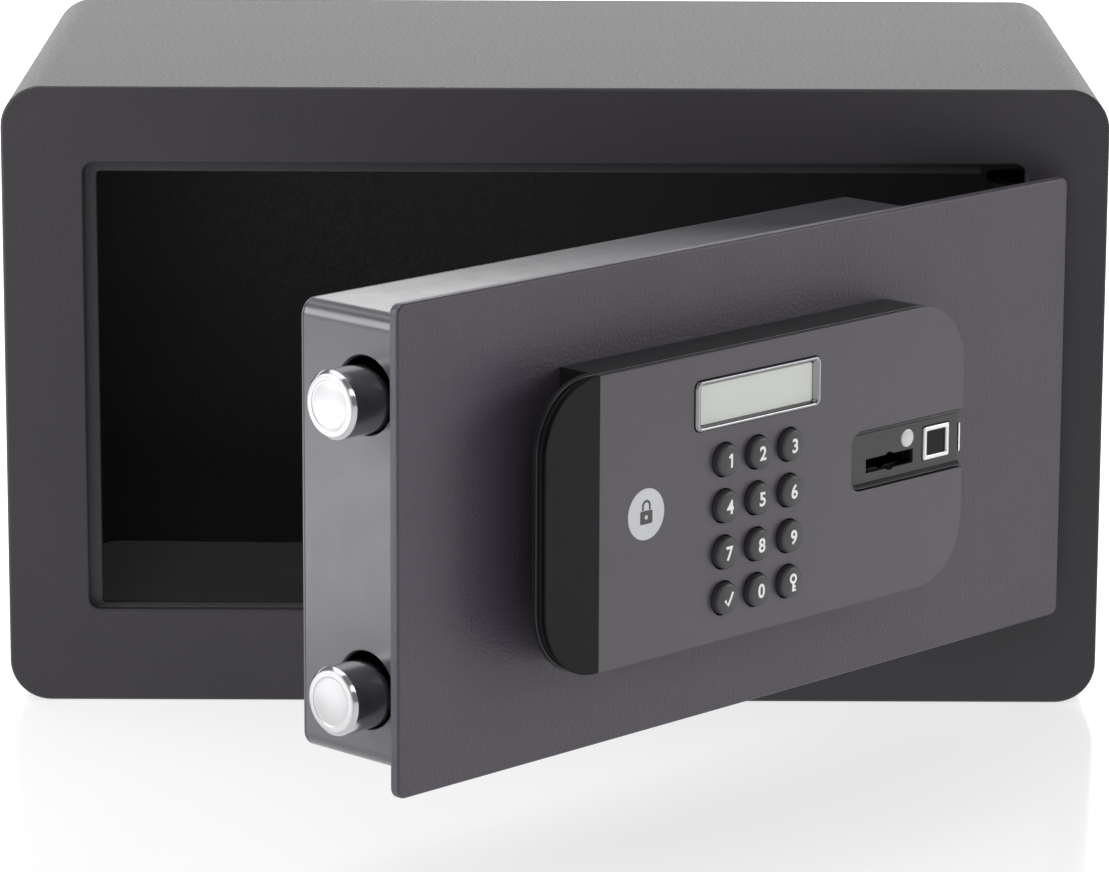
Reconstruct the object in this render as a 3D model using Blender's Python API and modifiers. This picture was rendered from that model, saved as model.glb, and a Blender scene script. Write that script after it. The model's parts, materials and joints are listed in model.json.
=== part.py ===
"""In-room safe: sheet-steel cabinet, door on concealed hinge arms, motor bolts and a keypad fascia.

Units are metres. +Z is up, the front faces -Y and the origin is the centre of the base on the floor.
Door pieces are drawn with the door shut, as (u, s, z): u runs right from the door's free edge, s runs
forward from the door's face and z is the height. The door's empty then turns them all to the open pose.
"""
import math

import bmesh
import bpy
from mathutils import Matrix, Vector

# cabinet
CAB_W, CAB_H, CAB_D = 0.350, 0.200, 0.200
CAB_R = 0.013
SHEET = 0.003
GAP = 0.0003
OPEN_X, OPEN_Z0, OPEN_Z1, OPEN_R = 0.1492, 0.0302, 0.1760, 0.0038
LEDGE_SIDE, LEDGE_TOP, LEDGE_BOTTOM = 0.0040, 0.0035, 0.0012
LEDGE_FRONT, LEDGE_T = 0.0037, 0.0030
JAMB_T = 0.0025
LIP_CHAMFER = 0.0005
NOTCH_X, NOTCH_UP, NOTCH_DOWN = 0.1348, 0.1600, 0.0462
ANCHOR_X, ANCHOR_R, ANCHOR_BACK_Z = 0.060, 0.005, 0.060
MAT_T, MAT_X, MAT_Y0, MAT_Y1, MAT_R = 0.002, 0.1615, -0.092, 0.094, 0.008
STRIKE_X0, STRIKE_X1, STRIKE_T = -0.1690, -0.1460, 0.0027
STRIKE_Z0, STRIKE_Z1 = 0.040, 0.166

# hinge: axis behind the right stile
PIVOT_X, PIVOT_Y = 0.1653, -0.0881
OPEN_ANGLE = math.radians(45.8)
PIN_R, PIN_HOLE_R, ARM_BORE_R, HUB_R = 0.0030, 0.0032, 0.00325, 0.0060
ARM_T, ARM_HALF, ARM_BEND_R, ARM_FILLET_R = 0.006, 0.003, 0.025, 0.006
ARM_ROOT = math.radians(96.0)
BEND_LEAD, FOOT_LEAD = math.radians(3.0), math.radians(8.0)
HUB_STEPS, BEND_STEPS, FILLET_STEPS = 16, 8, 5
FOOT_FRONT, FOOT_BACK, FOOT_END, FOOT_START = -0.0082, -0.0042, -0.0620, -0.0216
UPPER_ARM_Z, LOWER_ARM_Z = 0.1640, 0.0362
TAB_T, TAB_GAP = 0.0030, 0.0006
BRACKET_X0, BRACKET_X1, BRACKET_Y0, BRACKET_Y1 = -0.0065, 0.0064, -0.0080, 0.0400
WEB_X, WEB_Y = 0.0034, 0.0080
PIN_STAND = 0.0005

# door plate and the lock housing behind it
PLATE_LEFT, PLATE_W, PLATE_T, PLATE_R = -0.1472, 0.2944, 0.0034, 0.0030
PLATE_Z0, PLATE_Z1 = 0.0322, 0.1740
EDGE_ROUND, EDGE_STEPS = 0.0004, 1
BOX_U0, BOX_U1, BOX_Z0, BOX_Z1, BOX_R = 0.0080, 0.2460, 0.0368, 0.1683, 0.0050
BOX_WALL, BOX_BACK, COVER_T = 0.0015, -0.0456, 0.0013
COVER_SCREWS = {
    "cover_screw_lower_left": (0.020, 0.049),
    "cover_screw_lower_right": (0.234, 0.049),
    "cover_screw_upper_left": (0.020, 0.156),
    "cover_screw_upper_right": (0.234, 0.156),
}
SCREW_HEAD_R, SCREW_RIM_R, SCREW_HEAD_T = 0.0030, 0.0024, 0.0012
SCREW_R, SCREW_HOLE_R, SCREW_L = 0.0014, 0.0018, 0.0060
HATCH_U0, HATCH_U1, HATCH_Z0, HATCH_Z1, HATCH_T = 0.1460, 0.2140, 0.0690, 0.1330, 0.0012
HATCH_LIP = 0.004

# bolts, carriage and drive
BOLT_R, BOLT_S, BOLT_TIP_U, BOLT_END_U, BOLT_CHAMFER = 0.0100, -0.0213, -0.0057, 0.0450, 0.0013
BOLT_Z = (0.1434, 0.0579)
BOLT_HOLE_R, BOLT_HOLE_RISE = 0.0112, 0.0009
GUIDE_U0, GUIDE_U1, GUIDE_R, GUIDE_BORE_R = 0.0220, 0.0320, 0.0140, 0.0104
BAR_U0, BAR_U1, BAR_Z0, BAR_Z1, BAR_S0, BAR_S1 = 0.0453, 0.0553, 0.0440, 0.1570, -0.0293, -0.0133
RACK_U1, RACK_Z1, RACK_S0, RACK_S1, RACK_TEETH_U = 0.1120, 0.1060, -0.0253, -0.0173, 0.0700
TOOTH_MODULE, PINION_TEETH, TOOTH_TIP, TOOTH_ROOT, BACKLASH = 0.00125, 16, 0.0010, 0.0014, 0.00025
PRESSURE = math.radians(20.0)
PINION_U, PINION_Z, PINION_S0, PINION_S1 = 0.0960, 0.0870, -0.0243, -0.0183
SHAFT_R, SHAFT_END, SHAFT_HOLE_R, SHAFT_HOLE_END = 0.0030, -0.0320, 0.0034, -0.0330
GEARBOX = (0.0860, 0.1060, -0.0430, -0.0280, 0.0770, 0.0970)
MOTOR_R, MOTOR_U0, MOTOR_U1, MOTOR_S = 0.0070, 0.1063, 0.1380, -0.0355
BOARD = (0.1120, 0.2090, -0.0090, -0.0074, 0.1120, 0.1620)
CELL_R, CELL_L, CELL_S, CELL_U0, CELL_PITCH, CELL_Z0 = 0.00715, 0.0495, -0.0362, 0.1550, 0.0152, 0.0765
CELL_TIP_R, CELL_TIP_L = 0.0026, 0.0010
TRAY = (0.1460, 0.2095, -0.0456, -0.0272, 0.0740, 0.1290)
TRAY_WALL = 0.0012

# fascia
FASCIA_U0, FASCIA_U1, FASCIA_Z0, FASCIA_Z1 = 0.0413, 0.2244, 0.0603, 0.1472
FASCIA_LEFT_R, FASCIA_RIGHT_R = 0.0210, 0.0200
FASCIA_FRONT, FASCIA_SEAM, FASCIA_WALL_S = 0.0170, 0.0136, 0.0116
PULL_U, PULL_BACK = 0.0645, 0.0119
CAP_SPLIT_U = 0.0634
SHELL_WALL, SHELL_INNER_R = 0.0030, 0.0170
LCD = (0.1032, 0.1578, 0.1244, 0.1394)
LCD_R, LCD_RIM, LCD_PROUD, LCD_SCREEN_TOP = 0.0022, 0.0025, 0.0008, 0.0165
BADGE_U, BADGE_Z, BADGE_R, BADGE_DEPTH, BADGE_PROUD = 0.0829, 0.1038, 0.0076, 0.0005, 0.0001
KEY_U = (0.1161, 0.1302, 0.1443)
KEY_Z = (0.1145, 0.1007, 0.0868, 0.0730)
KEY_NAMES = (
    ("key_1", "key_2", "key_3"),
    ("key_4", "key_5", "key_6"),
    ("key_7", "key_8", "key_9"),
    ("key_tick", "key_0", "key_lock"),
)
KEY_R, KEY_HOLE_R, KEY_FLANGE_R = 0.0048, 0.0052, 0.0058
KEY_FOOT, KEY_FLANGE_TOP, KEY_SHOULDER, KEY_TOP = 0.0101, 0.0111, 0.0178, 0.0196
# crown of a key and of the lens: shares of the radius and of the rise
KEY_CROWN = ((1.0, 0.0), (0.84, 0.65), (0.45, 0.94))
LENS_CROWN = ((1.0, 0.0), (0.8, 0.5), (0.3, 1.0))
KEY_BOARD = (0.0980, 0.1640, 0.0072, 0.0088, 0.0640, 0.1420)
PANEL_U0, PANEL_Z0, PANEL_Z1, PANEL_R, PANEL_TOP = 0.1728, 0.0948, 0.1131, 0.0040, 0.0150
KEYWAY_U, KEYWAY_Z, KEYWAY_HALF, KEYWAY_RISE, KEYWAY_R = 0.19255, 0.10135, 0.01085, 0.0021, 0.0028
ROTOR_R, ROTOR_BORE, ROTOR_S0, ROTOR_S1 = 0.0124, 0.0129, 0.0035, 0.0112
LOCK_CASE = (0.1780, 0.2071, 0.0004, 0.0112, 0.0870, 0.1157)
LENS_U, LENS_Z, LENS_R, LENS_TOP = 0.2006, 0.1072, 0.0028, 0.0156
PORT = (0.2079, 0.2198, 0.0989, 0.1093)
PORT_WALL, PORT_BACK, PORT_FRONT, PORT_INSERT_FRONT = 0.0012, 0.0030, 0.0156, 0.0150
CATCH = (0.2247, 0.2254, 0.0125, 0.0152, 0.0993, 0.1081)
CABLE_U, CABLE_Z, CABLE_R = 0.1640, 0.1100, 0.0060

ROUND, ROUND_SMALL, ROUND_TINY = 32, 20, 16
CORNER, CORNER_LARGE, CORNER_SMALL = 5, 6, 3
KEYWAY_STEPS = 6
WELD, SLIVER = 1e-7, 1e-6
SHARP = math.radians(30.0)
AXIS_MARK = 0.02

# turns a shape drawn upright along +Z so that it runs along x, y or z
ALONG = {
    "x": Matrix(((0, 0, 1, 0), (1, 0, 0, 0), (0, 1, 0, 0), (0, 0, 0, 1))),
    "y": Matrix(((1, 0, 0, 0), (0, 0, 1, 0), (0, 1, 0, 0), (0, 0, 0, 1))),
    "z": Matrix.Identity(4),
}


def clear_scene():
    for thing in list(bpy.data.objects):
        bpy.data.objects.remove(thing, do_unlink=True)


def new_collection(name):
    made = bpy.data.collections.new(name)
    bpy.context.scene.collection.children.link(made)
    return made


def material(name, colour, metallic, roughness):
    made = bpy.data.materials.new(name)
    made.use_nodes = True
    shader = made.node_tree.nodes["Principled BSDF"]
    shader.inputs["Base Color"].default_value = (*colour, 1.0)
    shader.inputs["Metallic"].default_value = metallic
    shader.inputs["Roughness"].default_value = roughness
    return made


# outlines: lists of (a, b) points in order


def rounded_box(a0, a1, b0, b1, radii, steps=CORNER):
    """A rectangle with the corner radii given in the order a0b0, a1b0, a1b1, a0b1."""
    if not isinstance(radii, tuple):
        radii = (radii,) * 4
    signs = ((1, 1), (-1, 1), (-1, -1), (1, -1))
    corners = ((a0, b0), (a1, b0), (a1, b1), (a0, b1))
    points = []
    for k, ((a, b), (sa, sb), r) in enumerate(zip(corners, signs, radii)):
        start = math.pi + k * math.pi / 2
        for i in range(steps + 1):
            t = start + i * math.pi / 2 / steps
            points.append((a + sa * r + r * math.cos(t), b + sb * r + r * math.sin(t)))
    return points


def square_box(a0, a1, b0, b1):
    return [(a0, b0), (a1, b0), (a1, b1), (a0, b1)]


def circle(a, b, r, steps=ROUND):
    turn = 2 * math.pi / steps
    return [(a + r * math.cos(i * turn), b + r * math.sin(i * turn)) for i in range(steps)]


def keyway():
    """A slot for a double-bit key: a long slot with a round centre."""
    half, rise, r = KEYWAY_HALF, KEYWAY_RISE, KEYWAY_R
    lean = math.asin(rise / r)
    sweep = (math.pi - 2 * lean) / KEYWAY_STEPS
    points = []
    for side, flip in ((0, -1), (math.pi, 1)):
        arc = [side + lean + i * sweep for i in range(KEYWAY_STEPS + 1)]
        points += [(r * math.cos(t), r * math.sin(t)) for t in arc]
        points += [(flip * half, -flip * rise), (flip * half, flip * rise)]
    return [(KEYWAY_U + a, KEYWAY_Z + b) for a, b in points]


# solids: meshes in the coordinates of the drawing


def evaluated(drawn):
    """The mesh of a curve or of an object with modifiers, as the viewport shows it."""
    bpy.context.scene.collection.objects.link(drawn)
    graph = bpy.context.evaluated_depsgraph_get()
    mesh = bpy.data.meshes.new_from_object(drawn.evaluated_get(graph))
    bpy.data.objects.remove(drawn)
    return mesh


def drawn_with(work):
    mesh = bpy.data.meshes.new("solid")
    work.to_mesh(mesh)
    work.free()
    return mesh


def block(x0, x1, y0, y1, z0, z1):
    work = bmesh.new()
    middle = Vector((x0 + x1, y0 + y1, z0 + z1)) / 2
    size = Matrix.Diagonal((x1 - x0, y1 - y0, z1 - z0, 1))
    bmesh.ops.create_cube(work, size=1, matrix=Matrix.Translation(middle) @ size)
    return drawn_with(work)


def rod(a, b, r, lo, hi, axis, steps=ROUND):
    """A cylinder along x, y or z, centred on (a, b) across its axis."""
    work = bmesh.new()
    place = ALONG[axis] @ Matrix.Translation((a, b, (lo + hi) / 2))
    bmesh.ops.create_cone(
        work, cap_ends=True, segments=steps, radius1=r, radius2=r, depth=hi - lo, matrix=place
    )
    return drawn_with(work)


def plate(outlines, lo, hi, axis, edge=0.0):
    """A flat piece between two levels: the first outline, pierced by the others. Its edges can be round."""
    curve = bpy.data.curves.new("outline", "CURVE")
    curve.dimensions = "2D"
    curve.fill_mode = "BOTH"
    curve.extrude = (hi - lo) / 2 - edge
    curve.bevel_depth = edge
    curve.bevel_resolution = EDGE_STEPS
    curve.offset = -edge
    for outline in outlines:
        spline = curve.splines.new("POLY")
        spline.points.add(len(outline) - 1)
        spline.points.foreach_set("co", [c for a, b in outline for c in (a, b, 0, 1)])
        spline.use_cyclic_u = True
    work = bmesh.new()
    work.from_mesh(evaluated(bpy.data.objects.new("outline", curve)))
    # the fill leaves slivers without area between holes in a row
    bmesh.ops.remove_doubles(work, verts=work.verts, dist=WELD)
    bmesh.ops.dissolve_degenerate(work, edges=work.edges, dist=SLIVER)
    place = ALONG[axis] @ Matrix.Translation((0, 0, (lo + hi) / 2))
    bmesh.ops.transform(work, matrix=place, verts=work.verts)
    return drawn_with(work)


def turned(a, b, profile, axis, steps=ROUND):
    """A solid of revolution from (radius, level) pairs, closed on its axis at both ends."""
    points = [(0, profile[0][1]), *profile, (0, profile[-1][1])]
    mesh = bpy.data.meshes.new("profile")
    mesh.from_pydata([(r, 0, level) for r, level in points], [(i, i + 1) for i in range(len(points) - 1)], [])
    drawn = bpy.data.objects.new("profile", mesh)
    screw = drawn.modifiers.new("turn", "SCREW")
    screw.steps = steps
    screw.render_steps = steps
    screw.use_merge_vertices = True
    screw.merge_threshold = WELD
    made = evaluated(drawn)
    made.transform(ALONG[axis] @ Matrix.Translation((a, b, 0)))
    return made


def ring(loops):
    """A closed frame skinned over section loops of equal length, the last joined to the first."""
    work = bmesh.new()
    rows = [[work.verts.new(point) for point in loop] for loop in loops]
    for one, other in zip(rows, rows[1:] + rows[:1]):
        for k in range(len(one)):
            work.faces.new((one[k - 1], one[k], other[k], other[k - 1]))
    return drawn_with(work)


def together(*solids):
    work = bmesh.new()
    for solid in solids:
        work.from_mesh(solid)
    return drawn_with(work)


# objects


class Maker:
    """Makes objects under one parent. Door drawings are placed so that the parent is the hinge axis."""

    def __init__(self, collection, cutters, parent=None):
        self.collection, self.cutters, self.parent = collection, cutters, parent
        self.space = Matrix.Identity(4)
        if parent:
            corner = Matrix.Translation((PLATE_LEFT - PIVOT_X, -CAB_D / 2 - PIVOT_Y, 0))
            self.space = corner @ Matrix.Diagonal((1, -1, 1, 1))

    def add(self, name, solid, surface=None, origin=None):
        """Adds a solid. An origin in the drawing's coordinates becomes the object's own origin."""
        start = self.space @ Vector(origin) if origin else Vector()
        work = bmesh.new()
        work.from_mesh(solid)
        bmesh.ops.transform(work, matrix=Matrix.Translation(-start) @ self.space, verts=work.verts)
        bmesh.ops.remove_doubles(work, verts=work.verts, dist=WELD)
        bmesh.ops.recalc_face_normals(work, faces=work.faces)
        mesh = bpy.data.meshes.new(name)
        work.to_mesh(mesh)
        work.free()
        mesh.shade_smooth()
        mesh.set_sharp_from_angle(angle=SHARP)
        made = bpy.data.objects.new(name, mesh)
        made.location = start
        made.parent = self.parent
        if surface:
            mesh.materials.append(surface)
            self.collection.objects.link(made)
        else:
            made.hide_render = True
            made.display_type = "WIRE"
            self.cutters.objects.link(made)
        return made

    def cut(self, target, solid, name):
        modifier = target.modifiers.new(name, "BOOLEAN")
        modifier.object = self.add(f"{target.name}_{name}", solid)
        modifier.operation = "DIFFERENCE"
        modifier.solver = "EXACT"
        return modifier

    def join(self, target, solid, name):
        self.cut(target, solid, name).operation = "UNION"


def empty(name, location, turn, collection):
    made = bpy.data.objects.new(name, None)
    made.location = location
    made.rotation_euler = (0, 0, turn)
    made.empty_display_size = AXIS_MARK
    collection.objects.link(made)
    return made


# cabinet


def anchor_holes(across):
    return [circle(x, across, ANCHOR_R, ROUND_SMALL) for x in (-ANCHOR_X, ANCHOR_X)]


def cabinet_outline(inset=0.0, steps=CORNER):
    half = CAB_W / 2 - inset
    return rounded_box(-half, half, inset, CAB_H - inset, CAB_R - inset, steps)


def cabinet_shell(make, steel):
    half = CAB_D / 2 - SHEET - GAP
    outlines = [cabinet_outline(0, CORNER_LARGE), cabinet_outline(SHEET, CORNER_LARGE)]
    shell = make.add("cabinet_shell", plate(outlines, -half, half, "y"), steel)
    make.cut(shell, together(*(plate([hole], -SHEET, 2 * SHEET, "z") for hole in anchor_holes(0))), "anchors")


def front_frame(make, steel):
    """A panel with a rebated opening: lip, jamb and a ledge that the shut door rests in front of."""
    front = -CAB_D / 2
    ledge, back = front + LEDGE_FRONT, front + LEDGE_FRONT + LEDGE_T

    def mouth(grow):
        return rounded_box(-OPEN_X - grow, OPEN_X + grow, OPEN_Z0 - grow, OPEN_Z1 + grow, OPEN_R + grow)

    clear_x = OPEN_X - LEDGE_SIDE
    clear = rounded_box(-clear_x, clear_x, OPEN_Z0 + LEDGE_BOTTOM, OPEN_Z1 - LEDGE_TOP, OPEN_R / 4)
    outside, jamb = cabinet_outline(), mouth(JAMB_T)
    sections = [
        (outside, front),
        (outside, front + SHEET),
        (jamb, front + SHEET),
        (jamb, back),
        (clear, back),
        (clear, ledge),
        (mouth(0), ledge),
        (mouth(0), front + LIP_CHAMFER),
        (mouth(LIP_CHAMFER), front),
    ]
    frame = make.add("front_frame", ring([[(x, y, z) for x, z in outline] for outline, y in sections]), steel)
    hinge_x, notch_front, notch_back = OPEN_X - GAP / 2, ledge - GAP / 3, back + GAP
    notches = together(
        block(NOTCH_X, hinge_x, notch_front, notch_back, NOTCH_UP, OPEN_Z1 - GAP / 2),
        block(NOTCH_X, hinge_x, notch_front, notch_back, OPEN_Z0 + GAP / 2, NOTCH_DOWN),
    )
    make.cut(frame, notches, "hinge_notches")


def back_panel(make, steel):
    back = CAB_D / 2
    outlines = [cabinet_outline(), *anchor_holes(ANCHOR_BACK_Z)]
    make.add("back_panel", plate(outlines, back - SHEET, back, "y"), steel)


def floor_mat(make, felt):
    low = SHEET + GAP
    outline = rounded_box(-MAT_X, MAT_X, MAT_Y0, MAT_Y1, MAT_R)
    make.add("floor_mat", plate([outline, *anchor_holes(0)], low, low + MAT_T, "z"), felt)


def strike_bar(make, steel):
    front = -CAB_D / 2 + LEDGE_FRONT + LEDGE_T + GAP
    make.add("strike_bar", block(STRIKE_X0, STRIKE_X1, front, front + STRIKE_T, STRIKE_Z0, STRIKE_Z1), steel)


def hinge_bracket(make, steel, name, arm_z):
    """Two tabs, one each side of the arm, on a web that is fixed to the side wall."""
    low, high = arm_z - TAB_GAP - TAB_T, arm_z + ARM_T + TAB_GAP + TAB_T
    x0, x1 = PIVOT_X + BRACKET_X0, PIVOT_X + BRACKET_X1
    y0, y1 = PIVOT_Y + BRACKET_Y0, PIVOT_Y + BRACKET_Y1
    bracket = make.add(name, block(x0, x1, y0, y1, low, high), steel)
    gap_z = (low + TAB_T, high - TAB_T)
    make.cut(bracket, block(x0 - GAP, PIVOT_X + WEB_X, y0 - GAP, y1 + GAP, *gap_z), "mouth")
    make.cut(bracket, block(x0 - GAP, x1 + GAP, y0 - GAP, PIVOT_Y + WEB_Y, *gap_z), "arm_way")
    make.cut(bracket, rod(PIVOT_X, PIVOT_Y, PIN_HOLE_R, low - GAP, high + GAP, "z", ROUND_SMALL), "pin_hole")


def hinge_pin(make, steel, name, arm_z):
    low, high = arm_z - TAB_GAP - TAB_T - PIN_STAND, arm_z + ARM_T + TAB_GAP + TAB_T + PIN_STAND
    make.add(name, rod(PIVOT_X, PIVOT_Y, PIN_R, low, high, "z", ROUND_SMALL), steel)


# door


def polar(r, t, centre=(0, 0)):
    return centre[0] + r * math.cos(t), centre[1] + r * math.sin(t)


def arm_outline():
    """Plan of a hinge arm, door shut: hub, neck rearwards, long bend to the left, foot on the plate."""
    root = ARM_ROOT
    out_x, out_y = math.cos(root), math.sin(root)
    left_x, left_y = -out_y, out_x
    grip = math.asin(ARM_HALF / HUB_R)
    hub_sweep = (2 * math.pi - 2 * grip) / HUB_STEPS
    hub = [polar(HUB_R, root + grip + i * hub_sweep) for i in range(HUB_STEPS + 1)]

    along = ARM_BEND_R - ARM_FILLET_R
    centre = (out_x * along + left_x * ARM_FILLET_R, out_y * along + left_y * ARM_FILLET_R)
    turn_in = math.atan(ARM_FILLET_R / along)
    fillet_sweep = (math.pi / 2 + turn_in) / FILLET_STEPS

    def fillet(r):
        return [polar(r, root - math.pi / 2 + i * fillet_sweep, centre) for i in range(FILLET_STEPS + 1)]

    def bend(r, end):
        start = root + turn_in + BEND_LEAD
        return [polar(r, start + i * (end - start) / BEND_STEPS) for i in range(BEND_STEPS + 1)]

    outer_r, inner_r = ARM_BEND_R + ARM_HALF, ARM_BEND_R - ARM_HALF
    outer = bend(outer_r, math.pi + math.asin(-FOOT_BACK / outer_r))
    inner = bend(inner_r, math.pi + FOOT_LEAD)[::-1]
    foot = [(FOOT_END, FOOT_BACK), (FOOT_END, FOOT_FRONT), (FOOT_START, FOOT_FRONT)]
    outside, inside = fillet(ARM_FILLET_R + ARM_HALF), fillet(ARM_FILLET_R - ARM_HALF)[::-1]
    return hub + outside + outer + foot + inner + inside


def hinge_arm(make, steel, name, arm_z):
    # the outline is about the hinge axis, so it is moved to the door's drawing coordinates
    u, s = PIVOT_X - PLATE_LEFT, -CAB_D / 2 - PIVOT_Y
    outline = [(u + x, s - y) for x, y in arm_outline()]
    bore = circle(u, s, ARM_BORE_R, ROUND_SMALL)
    make.add(name, plate([outline, bore], arm_z, arm_z + ARM_T, "z"), steel)


def door_plate(make, paint):
    outline = rounded_box(0, PLATE_W, PLATE_Z0, PLATE_Z1, PLATE_R)
    holes = [circle(KEYWAY_U, KEYWAY_Z, KEYWAY_HALF), circle(CABLE_U, CABLE_Z, CABLE_R, ROUND_SMALL)]
    make.add("door_plate", plate([outline, *holes], -PLATE_T, 0, "y", EDGE_ROUND), paint)


def housing_outline(inset=0.0):
    return rounded_box(BOX_U0 + inset, BOX_U1 - inset, BOX_Z0 + inset, BOX_Z1 - inset, BOX_R - inset)


def lock_housing(make, paint):
    """A folded band with round long edges. The bolts come out of two oversize holes in its left end."""
    w = BOX_WALL
    band = plate([housing_outline(), housing_outline(w)], BOX_BACK, -PLATE_T - GAP, "y")
    housing = make.add("lock_housing", band, paint)
    holes = [rod(BOLT_S, z + BOLT_HOLE_RISE, BOLT_HOLE_R, BOX_U0 - w, BOX_U0 + 2 * w, "x") for z in BOLT_Z]
    make.cut(housing, together(*holes), "bolt_holes")


def rear_cover(make, paint):
    """The cover, with a window for the cells that the hatch closes. Returns the level outside the cover."""
    back = BOX_BACK - GAP
    lip = HATCH_LIP
    window = rounded_box(HATCH_U0 + lip, HATCH_U1 - lip, HATCH_Z0 + lip, HATCH_Z1 - lip, lip / 2)
    holes = [circle(u, z, SCREW_HOLE_R, ROUND_SMALL) for u, z in COVER_SCREWS.values()]
    make.add("rear_cover", plate([housing_outline(), window, *holes], back - COVER_T, back, "y"), paint)
    outside = back - COVER_T - GAP
    hatch = rounded_box(HATCH_U0, HATCH_U1, HATCH_Z0, HATCH_Z1, lip / 2)
    make.add("battery_hatch", plate([hatch], outside - HATCH_T, outside, "y"), paint)
    return outside


def cover_screws(make, steel, outside):
    head = outside - SCREW_HEAD_T
    profile = ((SCREW_RIM_R, head), (SCREW_HEAD_R, (head + outside) / 2), (SCREW_HEAD_R, outside))
    profile += ((SCREW_R, outside), (SCREW_R, outside + SCREW_L))
    for name, (u, z) in COVER_SCREWS.items():
        make.add(name, turned(u, z, profile, "y", ROUND_TINY), steel)


def bolt_guides(make, nylon):
    for name, z in zip(("upper_bolt_guide", "lower_bolt_guide"), BOLT_Z):
        outlines = [circle(BOLT_S, z, GUIDE_R), circle(BOLT_S, z, GUIDE_BORE_R)]
        make.add(name, plate(outlines, GUIDE_U0, GUIDE_U1, "x"), nylon)


def bolts(make, steel):
    c = BOLT_CHAMFER
    profile = ((BOLT_R - c, BOLT_TIP_U), (BOLT_R, BOLT_TIP_U + c), (BOLT_R, BOLT_END_U))
    for name, z in zip(("upper_bolt", "lower_bolt"), BOLT_Z):
        make.add(name, turned(BOLT_S, z, profile, "x"), steel)


def rack_profile():
    """The carriage from the side, as (u, z): an upright bar with a toothed arm below its middle."""
    pitch_z = PINION_Z + TOOTH_MODULE * PINION_TEETH / 2
    pitch = math.pi * TOOTH_MODULE
    tip, root = pitch_z - TOOTH_TIP, pitch_z + TOOTH_ROOT
    half = pitch / 4 - BACKLASH / 2
    lean = math.tan(PRESSURE)
    at_tip, at_root = half - TOOTH_TIP * lean, half + TOOTH_ROOT * lean
    # a tooth space of the rack faces the pinion tooth that points straight up
    first = PINION_U + pitch / 2
    count = int((RACK_U1 - RACK_TEETH_U) / pitch)
    centres = [first + (i - count) * pitch for i in range(2 * count)]
    centres = [c for c in centres if RACK_TEETH_U < c - at_root and c + at_root < RACK_U1]
    points = [(BAR_U0, BAR_Z0), (BAR_U1, BAR_Z0), (BAR_U1, root)]
    for c in centres:
        points += [(c - at_root, root), (c - at_tip, tip), (c + at_tip, tip), (c + at_root, root)]
    points += [(RACK_U1, root), (RACK_U1, RACK_Z1), (BAR_U1, RACK_Z1), (BAR_U1, BAR_Z1), (BAR_U0, BAR_Z1)]
    return points


def bolt_carriage(make, steel):
    carriage = make.add("bolt_carriage", plate([rack_profile()], BAR_S0, BAR_S1, "y"), steel)
    over = BAR_U1 + GAP
    thin = together(
        block(over, RACK_U1 + GAP, BAR_S0 - GAP, RACK_S0, BAR_Z0, BAR_Z1),
        block(over, RACK_U1 + GAP, RACK_S1, BAR_S1 + GAP, BAR_Z0, BAR_Z1),
    )
    make.cut(carriage, thin, "arm_sides")


def pinion_outline():
    """Involute teeth, thinned by the backlash, with one tooth straight up."""
    pitch_r = TOOTH_MODULE * PINION_TEETH / 2
    base_r = pitch_r * math.cos(PRESSURE)
    tip_r, root_r = pitch_r + TOOTH_TIP, pitch_r - TOOTH_ROOT

    def involute(angle):
        return math.tan(angle) - angle

    def half_angle(r):
        at = math.acos(min(1.0, base_r / r))
        flat = math.pi / 2 / PINION_TEETH - BACKLASH / 2 / pitch_r
        return flat + involute(PRESSURE) - involute(at)

    radii = (root_r, max(root_r, base_r), pitch_r, (pitch_r + tip_r) / 2, tip_r)
    points = []
    for k in range(PINION_TEETH):
        middle = math.pi / 2 - k * 2 * math.pi / PINION_TEETH
        points += [(r, middle + half_angle(r)) for r in radii]
        points += [(r, middle - half_angle(r)) for r in reversed(radii)]
    return [(PINION_U + r * math.cos(t), PINION_Z + r * math.sin(t)) for r, t in points]


def drive_pinion(make, steel):
    middle = (PINION_U, (PINION_S0 + PINION_S1) / 2, PINION_Z)
    wheel = plate([pinion_outline()], PINION_S0, PINION_S1, "y")
    pinion = make.add("drive_pinion", wheel, steel, middle)
    make.join(pinion, rod(PINION_U, PINION_Z, SHAFT_R, SHAFT_END, PINION_S0 + GAP, "y", ROUND_SMALL), "shaft")


def drive_unit(make, zinc, can):
    gearbox = make.add("gearbox", block(*GEARBOX), zinc)
    hole = rod(PINION_U, PINION_Z, SHAFT_HOLE_R, SHAFT_HOLE_END, GEARBOX[3] + GAP, "y", ROUND_SMALL)
    make.cut(gearbox, hole, "shaft_hole")
    make.add("drive_motor", rod(MOTOR_S, PINION_Z, MOTOR_R, MOTOR_U0, MOTOR_U1, "x"), can)


def power_and_control(make, board, plastic, label):
    make.add("main_circuit_board", block(*BOARD), board)
    tray = make.add("battery_holder", block(*TRAY), plastic)
    u0, u1, s0, s1, z0, z1 = TRAY
    w = TRAY_WALL
    make.cut(tray, block(u0 + w, u1 - w, s0 - w, s1 - w, z0 + w, z1 - w), "pocket")
    for i in range(4):
        u = CELL_U0 + i * CELL_PITCH
        top = CELL_Z0 + CELL_L
        profile = ((CELL_R, CELL_Z0), (CELL_R, top), (CELL_TIP_R, top), (CELL_TIP_R, top + CELL_TIP_L))
        make.add(f"battery_cell_{i + 1}", turned(u, CELL_S, profile, "z", ROUND_TINY), label)


# fascia


def fascia_outline(u0, u1, left_r, right_r):
    return rounded_box(u0, u1, FASCIA_Z0, FASCIA_Z1, (left_r, right_r, right_r, left_r), CORNER_LARGE)


def key_holes():
    return [circle(u, z, KEY_HOLE_R, ROUND_SMALL) for u in KEY_U for z in KEY_Z]


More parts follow.
